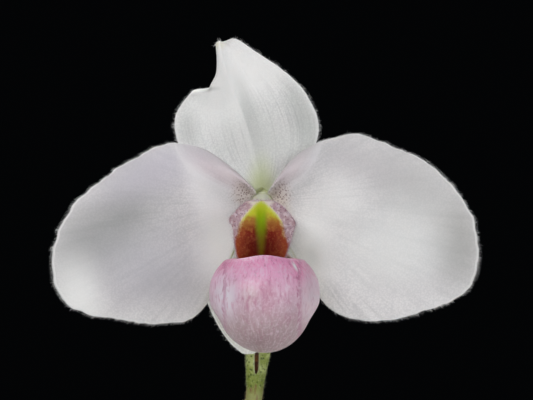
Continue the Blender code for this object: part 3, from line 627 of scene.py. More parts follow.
# %% Shape of the lower sepal
LOWER_MIDRIB = [(0.0, -3.2), (-0.3, -8), (-0.8, -14), (-1.3, -20), (-1.8, -25.4), (-2.3, -29.4),
                (-3.0, -31.7)]
LOWER_RIGHT = [(2.5, -1.7), (6.6, -6.0), (9.0, -13), (9.0, -19.4), (7.0, -24.8), (3.0, -29.2),
               (-1.8, -31.6)]
LOWER_LEFT = [(-2.5, -1.7), (-7.6, -6.0), (-11.6, -13), (-12.05, -19), (-10.0, -24.5), (-7.0, -29.0),
              (-4.1, -31.6)]
LOWER_DEPTH = [-0.65, 0.9, 2.4, 2.0, 0.0, -2.8, -4.6]
LOWER_MARGIN_FORWARD = 2.2
LOWER_ROWS = 44
LOWER_HALF_COLUMNS = 20


def lower_sepal_rows():
    outlines = [[p[k] for p in line] for line in (LOWER_MIDRIB, LOWER_RIGHT, LOWER_LEFT) for k in (0, 1)]
    rows = []
    for n in range(LOWER_ROWS + 1):
        share = n / LOWER_ROWS
        mid_x, mid_z, right_x, right_z, left_x, left_z = smooth_values(outlines, share)
        depth = smooth_value(LOWER_DEPTH, share)
        forward = LOWER_MARGIN_FORWARD * math.sin(math.pi * share)
        middle = Vector((mid_x, depth, mid_z))
        row = []
        for k in range(LOWER_HALF_COLUMNS, -LOWER_HALF_COLUMNS - 1, -1):
            part = abs(k) / LOWER_HALF_COLUMNS
            side = (left_x, left_z) if k > 0 else (right_x, right_z)
            point = middle.lerp(Vector((side[0], depth, side[1])), part)
            point.y -= forward * part ** 2
            row.append(FLOWER + point)
        rows.append(row)
    return rows


def lower_thinness(n, k):
    across = abs(k / LOWER_HALF_COLUMNS - 1.0)
    return max(across ** 3, (n / LOWER_ROWS) ** 8)


lower_grid = lower_sepal_rows()
lower_sepal = grow_blade("lower_sepal_blade", lower_grid, BLADE_THICK, lower_thinness)
print("lower sepal:", len(lower_sepal.data.polygons), "faces")

# %% [markdown]
# Where the upper sepal lies behind a petal, less light comes through and the petal looks greyer.
# Each point of a petal looks straight back in two small rings of directions, and the share of looks
# that meet the sepal is kept on the mesh as an attribute, which the petal's finish reads.

# %% Where the sepal lies behind the petals
LOOKS = 18
LOOK_SPREAD = 2.6
sepal_tree = BVHTree.FromPolygons([point.co for point in upper_sepal.data.vertices],
                                  [tuple(face.vertices) for face in upper_sepal.data.polygons])
look_offsets = []
for n in range(LOOKS):
    angle = math.tau * n / LOOKS
    reach = LOOK_SPREAD * (1 + n % 3) / 3
    look_offsets.append(Vector((math.cos(angle), 0.0, math.sin(angle))) * reach * MM)
for piece in petals.values():
    shares = []
    for point in piece.data.vertices:
        met = [sepal_tree.ray_cast(point.co + offset, Vector((0.0, 1.0, 0.0)))[0] for offset in look_offsets]
        shares.append(sum(hit is not None for hit in met) / LOOKS)
    layer = piece.data.attributes.new("sepal_behind", "FLOAT", "POINT")
    layer.data.foreach_set("value", shares)
    print(piece.name, f"{sum(shares) / len(shares):.2f} of its points lie before the sepal")

# %% [markdown]
# The lip is blown up into a slipper: an egg that is open on top, with a rim that rolls in and a
# strap at the heel which joins it to the middle of the bloom. A grid is wrapped round it, one
# direction running round and the other from the bottom up to the rim and over it.

# %% Shape of the pouch
POUCH_MIDDLE = Vector((0.55, -18.6, -19.6))
POUCH_HALF = Vector((11.3, 13.4, 11.0))
POUCH_WALL = 0.6
POUCH_TAPER = 0.12
POUCH_TAPER_SPAN = 0.45
POUCH_RIM_ANGLE = 134.0
POUCH_ROLL = 1.1
POUCH_ROLL_TURN = 150.0
POUCH_ROLL_STEPS = 8
POUCH_HEEL_ROLL = 0.25
POUCH_HEEL_SPREAD = 33.6
POUCH_RIM_STEP = 0.05
POUCH_SIDES = 80
POUCH_ROWS = 36
CLAW_FROM_ANGLE = 95.0
CLAW_REACH = 10.4
CLAW_SPREAD = 21.0
RIM_RISE = 0.55  # how far the middle of the front rim stands up
RIM_RISE_SPREAD = 24.0  # degrees each side of straight forward
POUCH_RIBS = 26
POUCH_RIB_HEIGHT = 0.05
POUCH_SHOULDER = 0.035  # how much wider the upper part is, as a share


def heel_angle(turn):
    """The angle, in degrees, between a turn round the pouch and straight back."""
    return math.degrees(min(turn, math.tau - turn))


def pouch_point(turn, polar):
    """A point of the outer face. turn goes round from straight back, polar up from the bottom."""
    level = Vector((math.sin(turn), math.cos(turn), 0.0))
    outward = level * math.sin(polar) - Vector((0.0, 0.0, math.cos(polar)))
    egg_reach = 1.0 / math.sqrt(sum((outward[k] / POUCH_HALF[k]) ** 2 for k in range(3)))
    rise = smooth_step((math.degrees(polar) - CLAW_FROM_ANGLE) / (POUCH_RIM_ANGLE - CLAW_FROM_ANGLE))
    claw = CLAW_REACH * rise * math.exp(-(heel_angle(turn) / CLAW_SPREAD) ** 2)
    rib = POUCH_RIB_HEIGHT * math.sin(polar) ** 2 * math.sin(POUCH_RIBS * turn + 3 * math.sin(2 * turn))
    point = outward * (egg_reach + claw + rib)
    point.x *= 1.0 - POUCH_TAPER * smooth_step(math.cos(polar) / POUCH_TAPER_SPAN)
    point.x *= 1.0 + POUCH_SHOULDER * smooth_step(-math.cos(polar) / POUCH_TAPER_SPAN)
    front = math.exp(-((180.0 - heel_angle(turn)) / RIM_RISE_SPREAD) ** 2)
    point.z += RIM_RISE * front * rise
    return POUCH_MIDDLE + point


def rim_point(turn, share):
    """A point of the rim, which rolls on over and in from the edge of the outer face."""
    rim = math.radians(POUCH_RIM_ANGLE)
    edge = pouch_point(turn, rim)
    ahead = (edge - pouch_point(turn, rim - POUCH_RIM_STEP)).normalized()
    inward = -Vector((math.sin(turn), math.cos(turn), 0.0))
    inward = (inward - ahead * inward.dot(ahead)).normalized()
    at_heel = math.exp(-(heel_angle(turn) / POUCH_HEEL_SPREAD) ** 2)
    radius = POUCH_ROLL * (1 - (1 - POUCH_HEEL_ROLL) * at_heel)
    angle = math.radians(POUCH_ROLL_TURN) * share
    return edge + (ahead * math.sin(angle) + inward * (1 - math.cos(angle))) * radius


def blow_pouch():
    turns = [math.tau * (k % POUCH_SIDES) / POUCH_SIDES for k in range(POUCH_SIDES + 1)]
    polars = [math.radians(POUCH_RIM_ANGLE) * n / POUCH_ROWS for n in range(POUCH_ROWS + 1)]
    rows = [[FLOWER + pouch_point(turn, polar) for turn in turns] for polar in polars]
    for n in range(1, POUCH_ROLL_STEPS + 1):
        rows.append([FLOWER + rim_point(turn, n / POUCH_ROLL_STEPS) for turn in turns])
    piece = weld(skin_over("pouch_skin", rows))
    middle = (FLOWER + POUCH_MIDDLE) * MM
    lowest = min(piece.data.polygons, key=lambda face: face.center.z)
    if lowest.normal.dot(lowest.center - middle) < 0:
        piece.data.flip_normals()
    finish_by(piece, "SOLIDIFY", thickness=POUCH_WALL * MM, offset=-1.0)
    finish_by(piece, "SUBSURF", levels=1, render_levels=1)
    bpy.ops.object.shade_smooth()
    return piece


pouch = blow_pouch()
print("pouch:", len(pouch.data.polygons), "faces")

# %% [markdown]
# The pouch is thinner than a petal's heart and tighter, like a balloon, so it has a satin shine.
# Pink sap lies in upright streaks that are strongest at the rim and fade downwards into a pale,
# greyish mauve, and the ground is darker towards the bottom, partly its own colour and partly painted
# shade. The streaks are a noise that is stretched along the UV map from bottom to rim, and two
# stronger veins run down the sides. Soft ovals add painted light, a painted highlight on a small
# fold and a few tints.

# %% Finish of the pouch
STREAKS_ROUND = 110.0
MOTTLE_SIZE = 0.5
BLOTCH_SIZE = 3.0
SIDE_VEINS = (-7.5, 7.6)  # how far to the side they run
VEIN_HALF = 0.55
VEIN_SWAY = 2.4
# middle of a painted light on the pouch's right side
PAINTED_LIGHT_SIDE = (10.4, -18.0)
# Ovals of painted light on the left and right of the belly and the right rim, a painted highlight on a small
# fold, and pink and beige tints.
POUCH_LIGHT_AND_TINTS = [
    ((-7.4, -19.0), (3.6, 6.5), 0.0, "#FCF0FF", 0.95),
    ((-2.2, -18.2), (2.6, 2.6), 0.0, "#D9CBC6", 0.4),
    ((1.2, -18.5), (2.4, 4.0), 0.0, "#C98AA4", 0.5),
    ((-7.8, -12.2), (4.2, 2.2), 35.0, "#DC74A2", 0.6),
    ((8.2, -13.0), (4.0, 3.6), -30.0, "#F59CC4", 0.8),
    ((10.2, -20.5), (3.6, 7.5), 0.0, "#FFEAF3", 0.9),
    # a painted highlight along a small fold
    ((6.7, -12.8), (0.45, 1.8), 31.0, "#FFFFFF", 0.9),
]


def pouch_finish():
    made, tree, shader = new_material(
        "pouch_skin", Roughness=0.4, Subsurface_Weight=0.5, Subsurface_Radius=(1.0, 0.6, 0.7),
        Subsurface_Scale=0.0009, Specular_IOR_Level=0.4, Coat_Weight=0.08, Coat_Roughness=0.35)
    place = place_in_mm(tree, FLOWER)
    upward = add_node(tree, "SeparateXYZ", {"Vector": place}, "Z")
    height = add_node(tree, "MapRange", {"Value": upward, "From Min": -30.6, "From Max": -11.2})
    # Darker and greyer towards the bottom: partly the pouch's own colour, partly painted shade where the
    # belly turns from the lamps.
    colour = add_node(tree, "ValToRGB", {"Fac": height, "stops": [
        (0.0, "#A88C90"), (0.3, "#C8ADB4"), (0.6, "#DDB8CB"), (0.84, "#F6B8DA"), (0.97, "#F2A2CC")]})
    colour = toned(tree, place, colour, POUCH_LIGHT_AND_TINTS)
    uv = add_node(tree, "TexCoord", {}, "UV")
    along = add_node(tree, "Mapping", {"Vector": uv, "Scale": (STREAKS_ROUND, 17.0, 1.0)})
    streaks = add_node(tree, "TexNoise", {"Vector": along, "Scale": 1.0, "Detail": 4.0, "Distortion": 0.8})
    strength = add_node(tree, "MapRange", {"Value": height, "From Min": 0.05, "To Min": 0.25, "To Max": 0.7})
    colour = coat(tree, colour, "#C4769D", streaks, 0.5, 0.72, strength)
    colour = coat(tree, colour, "#F6E6F2", streaks, 0.5, 0.3, 0.4)
    backward = add_node(tree, "SeparateXYZ", {"Vector": place}, "Y")
    in_front = add_node(tree, "MapRange", {"Value": backward, "From Min": -16.0, "From Max": -21.0,
                                           "To Max": 0.5})
    sway = add_node(tree, "Math", {"operation": "MULTIPLY_ADD", 0: streaks, 1: VEIN_SWAY,
                                   2: -0.5 * VEIN_SWAY})
    across = add_node(tree, "SeparateXYZ", {"Vector": place}, "X")
    across = add_node(tree, "Math", {"operation": "ADD", 0: across, 1: sway})
    for vein in SIDE_VEINS:
        off = add_node(tree, "Math", {"operation": "SUBTRACT", 0: across, 1: vein})
        off = add_node(tree, "Math", {"operation": "ABSOLUTE", 0: off})
        colour = coat(tree, colour, "#BF6C98", off, VEIN_HALF, 0.1 * VEIN_HALF, in_front)
    mottle = add_node(tree, "TexNoise", {"Vector": place, "Scale": 1 / MOTTLE_SIZE, "Detail": 3.0})
    colour = coat(tree, colour, "#F2DCEA", mottle, 0.5, 0.68, 0.4)
    # Painted light on the right side of the pouch, which the weak fill lamp leaves in shade.
    painted_light_side = oval_patch(tree, place, PAINTED_LIGHT_SIDE, (4.4, 10.0))
    colour = coat(tree, colour, "#FFD6E6", painted_light_side, 0.0, 1.0, 0.3)
    blotches = add_node(tree, "TexNoise", {"Vector": place, "Scale": 1 / BLOTCH_SIZE, "Detail": 4.0})
    heel = add_node(tree, "Math", {"operation": "MULTIPLY_ADD", 0: blotches, 1: 14.0, 2: backward})
    colour = coat(tree, colour, "#EAE6B6", heel, -11.0, 1.0)
    tree.links.new(colour, shader.inputs["Base Color"])
    roughen(tree, shader, mottle, 0.2, 0.15)
    return made


pouch_pink = pouch_finish()

# %% [markdown]
# In front of the column stands a small shield, the staminode. It is a dome with a groove.
# The grid is wrapped from the middle of its face over the edge to the middle of its back.

# %% Shape of the shield
SHIELD_CENTRE = Vector((0.3, -14.2, -5.4))
SHIELD_OUTLINE = [(-0.4, 6.0), (1.9, 5.9), (3.4, 5.2), (4.7, 4.1), (5.9, 2.6), (6.7, 1.3), (6.3, -0.3),
                  (5.8, -2.2), (5.1, -4.4), (4.4, -6.1), (2.4, -7.4), (0.0, -7.7), (-2.6, -7.5),
                  (-4.7, -6.9), (-5.6, -5.6), (-5.8, -4.2), (-6.1, -2.2), (-6.3, 0.1), (-7.1, 1.9),
                  (-6.1, 3.3), (-4.6, 4.9), (-3.2, 5.8)]
SHIELD_SIDES = 96
SHIELD_ROWS = 24
SHIELD_EDGE = 0.8
SHIELD_BULGE = 2.0
SHIELD_DOME_POWER = 0.8
SHIELD_GROOVE = 0.8
SHIELD_GROOVE_HALF = 1.2
SHIELD_MIDDLE = -0.45  # where its groove and its stripe run
SHIELD_BACK = 0.4
SHIELD_LUMPS = ((1.6, 0.12), (0.7, 0.06))  # size and height
STALK_AT = (-0.3, 4.0)  # where the shield's back meets the column
STALK_HEIGHT = 0.6
STALK_HALF = 1.2


def shield_front(x, share):
    """The depth of the shield's face: a dome with a groove down its middle."""
    fall = 1 - share ** 2
    groove = SHIELD_GROOVE * math.exp(-((x - SHIELD_MIDDLE) / SHIELD_GROOVE_HALF) ** 2)
    return -SHIELD_EDGE / 2 - SHIELD_BULGE * fall ** SHIELD_DOME_POWER + groove * fall


def shape_shield():
    outline = flat_curve(SHIELD_OUTLINE + SHIELD_OUTLINE[:1], SHIELD_SIDES + 1)
    centre = FLOWER + SHIELD_CENTRE
    rows = []
    for n in range(SHIELD_ROWS + 1):
        share = n / SHIELD_ROWS
        row = [centre + Vector((p.x * share, shield_front(p.x * share, share), p.z * share)) for p in outline]
        for point in row:
            for size, height in SHIELD_LUMPS:
                point.y += height * tissue_noise(point, size)
        rows.append(row)
    for n in range(SHIELD_ROWS, -1, -1):
        share = n / SHIELD_ROWS
        row = []
        for p in outline:
            off = math.hypot(p.x * share - STALK_AT[0], p.z * share - STALK_AT[1])
            depth = SHIELD_EDGE / 2 + SHIELD_BACK * (1 - share)
            depth += STALK_HEIGHT * math.exp(-(off / STALK_HALF) ** 2)
            row.append(centre + Vector((p.x * share, depth, p.z * share)))
        rows.append(row)
    piece = weld(skin_over("shield_face", rows))
    finish_by(piece, "SUBSURF", levels=1, render_levels=1)
    bpy.ops.object.shade_smooth()
    return piece, [centre + p for p in outline]


shield, shield_outline = shape_shield()
print("shield:", len(shield.data.polygons), "faces")

# %% [markdown]
# The shield is waxy, and its colours are its signal to insects: a yellow-green ridge like a roof,
# a green stripe that narrows downwards, maroon flanks, pale corners above the roof and a mauve,
# freckled rim. Each place is told by its distance from the stripe and by its height on the shield.

# %% Finish of the shield
FLANK_MOTTLE = 0.9
FLANK_FLECK = 0.35
RIM_FRECKLE = 0.5


def shield_finish():
    made, tree, shader = new_material(
        "shield_wax", Roughness=0.6, Subsurface_Weight=0.25, Subsurface_Radius=(1.0, 0.4, 0.2),
        Subsurface_Scale=0.0004, Specular_IOR_Level=0.15)
    place = place_in_mm(tree, FLOWER + SHIELD_CENTRE)
    x = add_node(tree, "SeparateXYZ", {"Vector": place}, "X")
    z = add_node(tree, "SeparateXYZ", {"Vector": place}, "Z")
    side = add_node(tree, "Math", {"operation": "SUBTRACT", 0: x, 1: SHIELD_MIDDLE})
    side = add_node(tree, "Math", {"operation": "ABSOLUTE", 0: side})
    mottle = add_node(tree, "TexNoise", {"Vector": place, "Scale": 1 / FLANK_MOTTLE, "Detail": 4.0})
    uneven = add_node(tree, "Math", {"operation": "MULTIPLY_ADD", 0: mottle, 1: 2.2, 2: -1.1})
    soft_z = add_node(tree, "Math", {"operation": "ADD", 0: z, 1: uneven})
    flecks = add_node(tree, "TexNoise", {"Vector": place, "Scale": 1 / FLANK_FLECK, "Detail": 2.0})
    ragged = add_node(tree, "Math", {"operation": "MULTIPLY_ADD", 0: flecks, 1: 0.7, 2: -0.35})
    eaves = add_node(tree, "Math", {"operation": "MULTIPLY_ADD", 0: side, 1: 0.1, 2: soft_z})
    slope = add_node(tree, "Math", {"operation": "MULTIPLY_ADD", 0: side, 1: 0.1, 2: 0.6})
    ridge = add_node(tree, "Math", {"operation": "MULTIPLY_ADD", 0: side, 1: slope, 2: z})
    ridge = add_node(tree, "Math", {"operation": "ADD", 0: ridge, 1: ragged})
    inner = add_node(tree, "Math", {"operation": "MULTIPLY_ADD", 0: soft_z, 1: 0.27, 2: side})
    inner = add_node(tree, "Math", {"operation": "ADD", 0: inner, 1: ragged})
    colour = coat(tree, "#7E1A0C", "#A04628", side, 1.5, 5.0)
    colour = coat(tree, colour, "#B5673A", mottle, 0.46, 0.7, 0.6)
    colour = coat(tree, colour, "#BB7A4A", flecks, 0.52, 0.72, 0.45)
    dark = add_node(tree, "MapRange", {"Value": side, "From Min": 5.2, "From Max": 1.2, "To Max": 0.85})
    colour = coat(tree, colour, "#5A0C05", z, 1.2, -4.0, dark)
    colour = coat(tree, colour, "#B07A34", eaves, -0.6, 2.3, 0.9)
    high = add_node(tree, "MapRange", {"Value": z, "From Min": -2.5, "From Max": -0.5, "To Max": 0.8})
    line = add_node(tree, "Math", {"operation": "SUBTRACT", 0: inner, 1: 4.45})
    line = add_node(tree, "Math", {"operation": "ABSOLUTE", 0: line})
    broken = add_node(tree, "MapRange", {"Value": mottle, "From Min": 0.38, "From Max": 0.6, "To Max": high})
    colour = coat(tree, colour, "#D0B07C", line, 0.55, 0.05, broken)
    colour = coat(tree, colour, "#CDCF3A", eaves, 1.7, 3.9)
    colour = coat(tree, colour, "#E2E28C", ridge, 5.0, 5.8, 0.6)
    width = add_node(tree, "MapRange", {"Value": z, "From Min": -6.0, "From Max": 0.0,
                                        "To Min": 0.3, "To Max": 1.0})
    gap = add_node(tree, "Math", {"operation": "SUBTRACT", 0: side, 1: width})
    stripe = add_node(tree, "MapRange", {"Value": z, "From Min": -6.0, "From Max": 6.0})
    green = add_node(tree, "ValToRGB", {"Fac": stripe, "stops": [
        (0.0, "#6A4602"), (0.35, "#746806"), (0.66, "#8BA800"), (0.82, "#A4B806"), (1.0, "#C0C83A")]})
    deep = add_node(tree, "MapRange", {"Value": z, "From Min": 6.0, "From Max": 3.2, "To Min": 0.35})
    colour = coat(tree, colour, green, gap, 0.7, -0.6, deep)
    colour = coat(tree, colour, "#E8DCD4", ridge, 5.55, 6.45)
    dots = add_node(tree, "TexVoronoi", {"Vector": place, "Scale": 1 / RIM_FRECKLE})
    mauve = coat(tree, "#BFA0A8", "#DCC8D0", mottle, 0.45, 0.62)
    mauve = coat(tree, mauve, "#8E6276", dots, 0.45, 0.15, 0.8)
    colour = coat(tree, colour, mauve, inner, 4.3, 5.15)
    corner = add_node(tree, "MapRange", {"Value": ridge, "From Min": 6.0, "From Max": 6.4})
    mauve_from = add_node(tree, "MapRange", {"Value": side, "From Min": 1.5, "From Max": 3.6, "To Min": 5.0,
                                             "To Max": 6.4})
    below = add_node(tree, "Math", {"operation": "SUBTRACT", 0: z, 1: mauve_from})
    colour = coat(tree, colour, mauve, below, 0.3, -0.9, corner)
    outward = add_node(tree, "SeparateXYZ", {"Vector": add_node(tree, "TexCoord", {}, "UV")}, "Y")
    colour = coat(tree, colour, mauve, outward, 0.46, 0.48, 0.6)
    tree.links.new(colour, shader.inputs["Base Color"])
    roughen(tree, shader, mottle, 0.5, 0.15)
    return made


shield_wax = shield_finish()

# %% [markdown]
# Behind the shield is the column, a stub that carries it, with the broad stigma below and a yellow
# pollen mass on each side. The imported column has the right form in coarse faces, so a copy of it
# is welded, remeshed finely and smoothed. The pollen masses are small lumpy eggs.

# %% Column and pollen
COLUMN_VOXEL = 0.16
POLLEN_LUMP = 0.55


def refine_column():
    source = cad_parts["column"]
    piece = source.copy()
    piece.data = source.data.copy()
    piece.name = piece.data.name = "column_body"
    for key in list(piece.keys()):
        del piece[key]
    piece.parent = None
    bpy.context.scene.collection.objects.link(piece)
    piece.data.materials.clear()
    weld(piece)
    finish_by(piece, "REMESH", mode="VOXEL", voxel_size=COLUMN_VOXEL * MM)
    finish_by(piece, "SMOOTH", factor=0.5, iterations=6)
    bpy.ops.object.select_all(action="DESELECT")
    piece.select_set(True)
    bpy.ops.object.shade_smooth()
    return piece


def roll_pollen(name, node):
    low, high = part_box(node)
    bpy.ops.object.select_all(action="DESELECT")
    bpy.ops.mesh.primitive_uv_sphere_add(segments=32, ring_count=20, radius=1.0)
    piece = bpy.context.object
    piece.name = piece.data.name = name
    for point in piece.data.vertices:
        lump = 0.93 + 0.07 * tissue_noise(point.co * 1.5 / POLLEN_LUMP, 1.0)
        point.co = (low + high) / 2 + Vector([point.co[k] * (high - low)[k] / 2 * lump for k in range(3)])
    bpy.ops.object.shade_smooth()
    return piece


column = refine_column()
pollen = {side: roll_pollen(f"pollen_{side}", f"anther_{side}") for side in ("left", "right")}


def column_finish():
    """Waxy flesh of the column: creamy green, darker towards the stigma."""
    made, tree, shader = new_material(
        "column_wax", Roughness=0.5, Subsurface_Weight=0.4, Subsurface_Radius=(1.0, 0.9, 0.5),
        Subsurface_Scale=0.0008)
    place = place_in_mm(tree, FLOWER)
    upward = add_node(tree, "SeparateXYZ", {"Vector": place}, "Z")
    colour = coat(tree, "#B9C386", "#E6E8D2", upward, -5.0, 0.5)
    mottle = add_node(tree, "TexNoise", {"Vector": place, "Scale": 1.2, "Detail": 3.0})
    colour = coat(tree, colour, "#F0EDD8", mottle, 0.45, 0.7, 0.4)
    tree.links.new(colour, shader.inputs["Base Color"])
    return made


def pollen_finish():
    """Sticky pollen: a glossy yellow paste with grains."""
    made, tree, shader = new_material("pollen_paste", Roughness=0.3, Subsurface_Weight=0.2,
                                      Subsurface_Radius=(1.0, 0.7, 0.2), Subsurface_Scale=0.0004)
    place = place_in_mm(tree, FLOWER)
    grains = add_node(tree, "TexVoronoi", {"Vector": place, "Scale": 5.0})
    colour = coat(tree, "#E0BC46", "#A87C1E", grains, 0.1, 0.6)
    tree.links.new(colour, shader.inputs["Base Color"])
    roughen(tree, shader, grains, 0.4, -0.1)
    return made


column_wax = column_finish()
pollen_paste = pollen_finish()
print("column:", len(column.data.polygons), "faces")

# %% [markdown]
# Stem and ovary are tubes. Rings of places are set square to a path, the ring turning with it, and
# the grid is rolled up over them. The ovary has six ribs and ends in the boss under the bloom.

# %% Shapes of the stem and the ovary
STEM_RADIUS = 1.95
STEM_SWELL = 0.15
STEM_PATH = [(-3.1, 0.0, 8.6), (-0.8, 0.3, 34), (1.9, 0.1, 61), (4.6, -0.2, 88), (7.2, -0.1, 113),
             (10.3, 0.2, 143), (13.3, 0.4, 172), (14.4, 0.5, 182.6)]
STEM_CUT_SLOPE = 0.8
STEM_SIDES = 40
STEM_RINGS = 180
STEM_INTO_SHEATH = 0.9  # how far it goes on inside the sheath's foot
OVARY_PATH = [(-1.5, 8.0, -38.9), (-1.2, 8.3, -29), (-0.7, 8.6, -18), (-0.3, 8.0, -8), (-0.1, 5.4, -1.6),
              (0.0, 2.6, 0.0), (0.0, 1.3, 0.0), (0.0, 0.0, 0.0)]
OVARY_RADII = [0.95, 1.45, 2.05, 2.4, 2.5, 2.7, 3.1, 3.3]
OVARY_RIBS = 6
OVARY_RIB_SHARE = 0.07
OVARY_RIB_FADE = 6.0
OVARY_SIDES = 60
OVARY_RINGS = 90
HUB_RADIUS = 2.3
HUB_HEIGHT = 2.2
HUB_DOME = ((0.0, 1.0), (0.45, 1.0), (0.75, 0.93), (0.93, 0.78))  # height and radius, as shares
END_RINGS = (0.97, 0.7, 0.35, 0.0)  # shares of the radius that close an end


def rings_along(path, radii, sides):
    """Closed rings of points round a path, each turned with it."""
    across = Vector((1.0, 0.0, 0.0))
    rings = []
    for n, point in enumerate(path):
        ahead = (path[min(n + 1, len(path) - 1)] - path[max(n - 1, 0)]).normalized()
        across = (across - ahead * across.dot(ahead)).normalized()
        up = ahead.cross(across)
        angles = [math.tau * (k % sides) / sides for k in range(sides + 1)]
        rings.append([point + (across * math.cos(a) + up * math.sin(a)) * radii[n] for a in angles])
    return rings


def close_ends(rings):
    """The rings with smaller and smaller ones at both ends, down to a point."""
    middles = [sum(ring[:-1], Vector()) / (len(ring) - 1) for ring in (rings[0], rings[-1])]
    first = [[middles[0].lerp(p, share) for p in rings[0]] for share in reversed(END_RINGS)]
    last = [[middles[1].lerp(p, share) for p in rings[-1]] for share in END_RINGS]
    return first + rings + last


def roll_up(name, rings):
    """A closed tube over rings, welded and with its faces outwards."""
    piece = weld(skin_over(name, close_ends(rings)))
    bpy.ops.object.shade_smooth_by_angle(angle=math.radians(50))
    return piece


def grow_stem():
    path = even_curve(STEM_PATH, STEM_RINGS)
    radii = [STEM_RADIUS + STEM_SWELL * math.cos(math.pi * n / (STEM_RINGS - 1)) for n in range(STEM_RINGS)]
    path.append(path[-1] + (path[-1] - path[-2]).normalized() * STEM_INTO_SHEATH)
    radii.append(radii[-1])
    rings = rings_along(path, radii, STEM_SIDES)
    for n, ring in enumerate(rings):
        for point in ring:
            uneven = 0.02 * tissue_noise(point, 7.0) + 0.012 * tissue_noise(point, 1.7)
            point += (point - path[n]) * (uneven - 0.02)
    foot = path[0]
    for point in rings[0]:
        point.z += STEM_CUT_SLOPE * (point.x - foot.x) / STEM_RADIUS
    return roll_up("flower_stalk", rings)


def grow_ovary():
    path = even_curve(OVARY_PATH, OVARY_RINGS)
    radii = [smooth_value(OVARY_RADII, n / (OVARY_RINGS - 1)) for n in range(OVARY_RINGS)]
    rings = []
    for n, ring in enumerate(rings_along(path, radii, OVARY_SIDES)):
        fading = min(1.0, OVARY_RIB_FADE * (1 - n / (OVARY_RINGS - 1)))
        swell = [OVARY_RIB_SHARE * fading * math.cos(OVARY_RIBS * math.tau * k / OVARY_SIDES)
                 for k in range(OVARY_SIDES + 1)]
        rings.append([path[n] + (p - path[n]) * (1 + s) for p, s in zip(ring, swell)])
    last = rings[-1]
    for height, width in HUB_DOME:
        forward = Vector((0.0, -height * HUB_HEIGHT, 0.0))
        rings.append([forward + p.normalized() * HUB_RADIUS * width for p in last])
    return roll_up("ribbed_ovary", [[FLOWER + p for p in ring] for ring in rings])


stem = grow_stem()
ovary = grow_ovary()
print("stem and ovary:", len(stem.data.polygons), len(ovary.data.polygons), "faces")

# %% [markdown]
# The bract is a leafy sheath. It clasps the ovary's foot and opens in front in a narrow slit, and
# its free tip leans back. Each row of its grid is an arc that leaves the slit open, and below the
# slit the rows close to a ring that sinks into the stem.

# %% Shape of the bract
# each station is (height, outer radius, half of the slit in degrees)
BRACT_STATIONS = [
    (-40.1, 1.55, 0.0), (-39.6, 1.77, 0.0), (-38.9, 1.87, 0.0), (-37.6, 2.02, 0.0), (-36.8, 2.11, 0.0),
    (-36.2, 2.17, 8.5), (-35.2, 2.29, 12.0), (-33.5, 2.5, 11.5), (-31.2, 2.75, 12.0), (-28.4, 3.1, 30.0),
    (-25.4, 3.6, 70.0), (-22.6, 4.1, 122.0), (-20.4, 4.5, 166.0)]
BRACT_SWAY = (-38.4, 0.065)  # from this height on it leans to +X, by this share of the way up
SLIT_TURN = (-35.4, -2.2)  # from this height on the slit turns to -X, in degrees for each mm
BRACT_THICK = 0.5
BRACT_ROWS = 72
BRACT_COLUMNS = 72
BRACT_LEAN = 2.4
BRACT_LEAN_FROM = -31.0
BRACT_LEAN_POWER = 1.5
BRACT_FOLDS = 15  # fine ridges along the sheath
BRACT_FOLD_HEIGHT = 0.035


def stalk_axis(height):
    """The point, at a height, of the stem's line as it goes on into the ovary's."""
    line = even_curve(STEM_PATH, STEM_RINGS) + [FLOWER + Vector(p) for p in OVARY_PATH[1:4]]
    for a, b in zip(line, line[1:]):
        if height <= b.z:
            return a.lerp(b, (height - a.z) / (b.z - a.z))
    return line[-1]


def bract_rows():
    lowest, highest = BRACT_STATIONS[0][0], BRACT_STATIONS[-1][0]
    rows = []
    for height, radius, half_slit in smooth_curve(BRACT_STATIONS, BRACT_ROWS + 1):
        height = min(max(height, lowest), highest)
        centre = stalk_axis(FLOWER.z + height) - FLOWER
        free = max(0.0, (height - BRACT_LEAN_FROM) / (highest - BRACT_LEAN_FROM))
        centre = Vector((centre.x, centre.y + BRACT_LEAN * free ** BRACT_LEAN_POWER, height))
        centre.x += max(0.0, height - BRACT_SWAY[0]) * BRACT_SWAY[1]
        opening = math.radians(max(half_slit, 0.0))
        front = math.radians(max(0.0, height - SLIT_TURN[0]) * SLIT_TURN[1]) - math.pi / 2
        row = []
        for k in range(BRACT_COLUMNS + 1):
            angle = front + opening + 2 * (math.pi - opening) * k / BRACT_COLUMNS
            reach = radius - BRACT_THICK / 2 + BRACT_FOLD_HEIGHT * math.cos(BRACT_FOLDS * angle)
            row.append(FLOWER + centre + Vector((math.cos(angle) * reach, math.sin(angle) * reach, 0.0)))
        if opening == 0.0:
            row[-1] = row[0].copy()
        rows.append(row)
    return rows


def bract_thinness(n, k):
    across = abs(2 * k / BRACT_COLUMNS - 1)
    return 0.6 * max(across ** 6, (n / BRACT_ROWS) ** 8)


bract_grid = bract_rows()
bract = grow_blade("leafy_sheath", bract_grid, BRACT_THICK, bract_thinness)
print("bract:", len(bract.data.polygons), "faces")

# %% [markdown]
# Stem, sheath and ovary are the plant's green skin, each with its own amount of brown and purple.
# Fine dark specks lie over the sheath, and long streaks of brown run along the stem.

# %% Finish of stem, bract and ovary
GREEN_SPECK = 0.8
NODE_HEIGHT = 182.0  # where the sheath grows from the stem


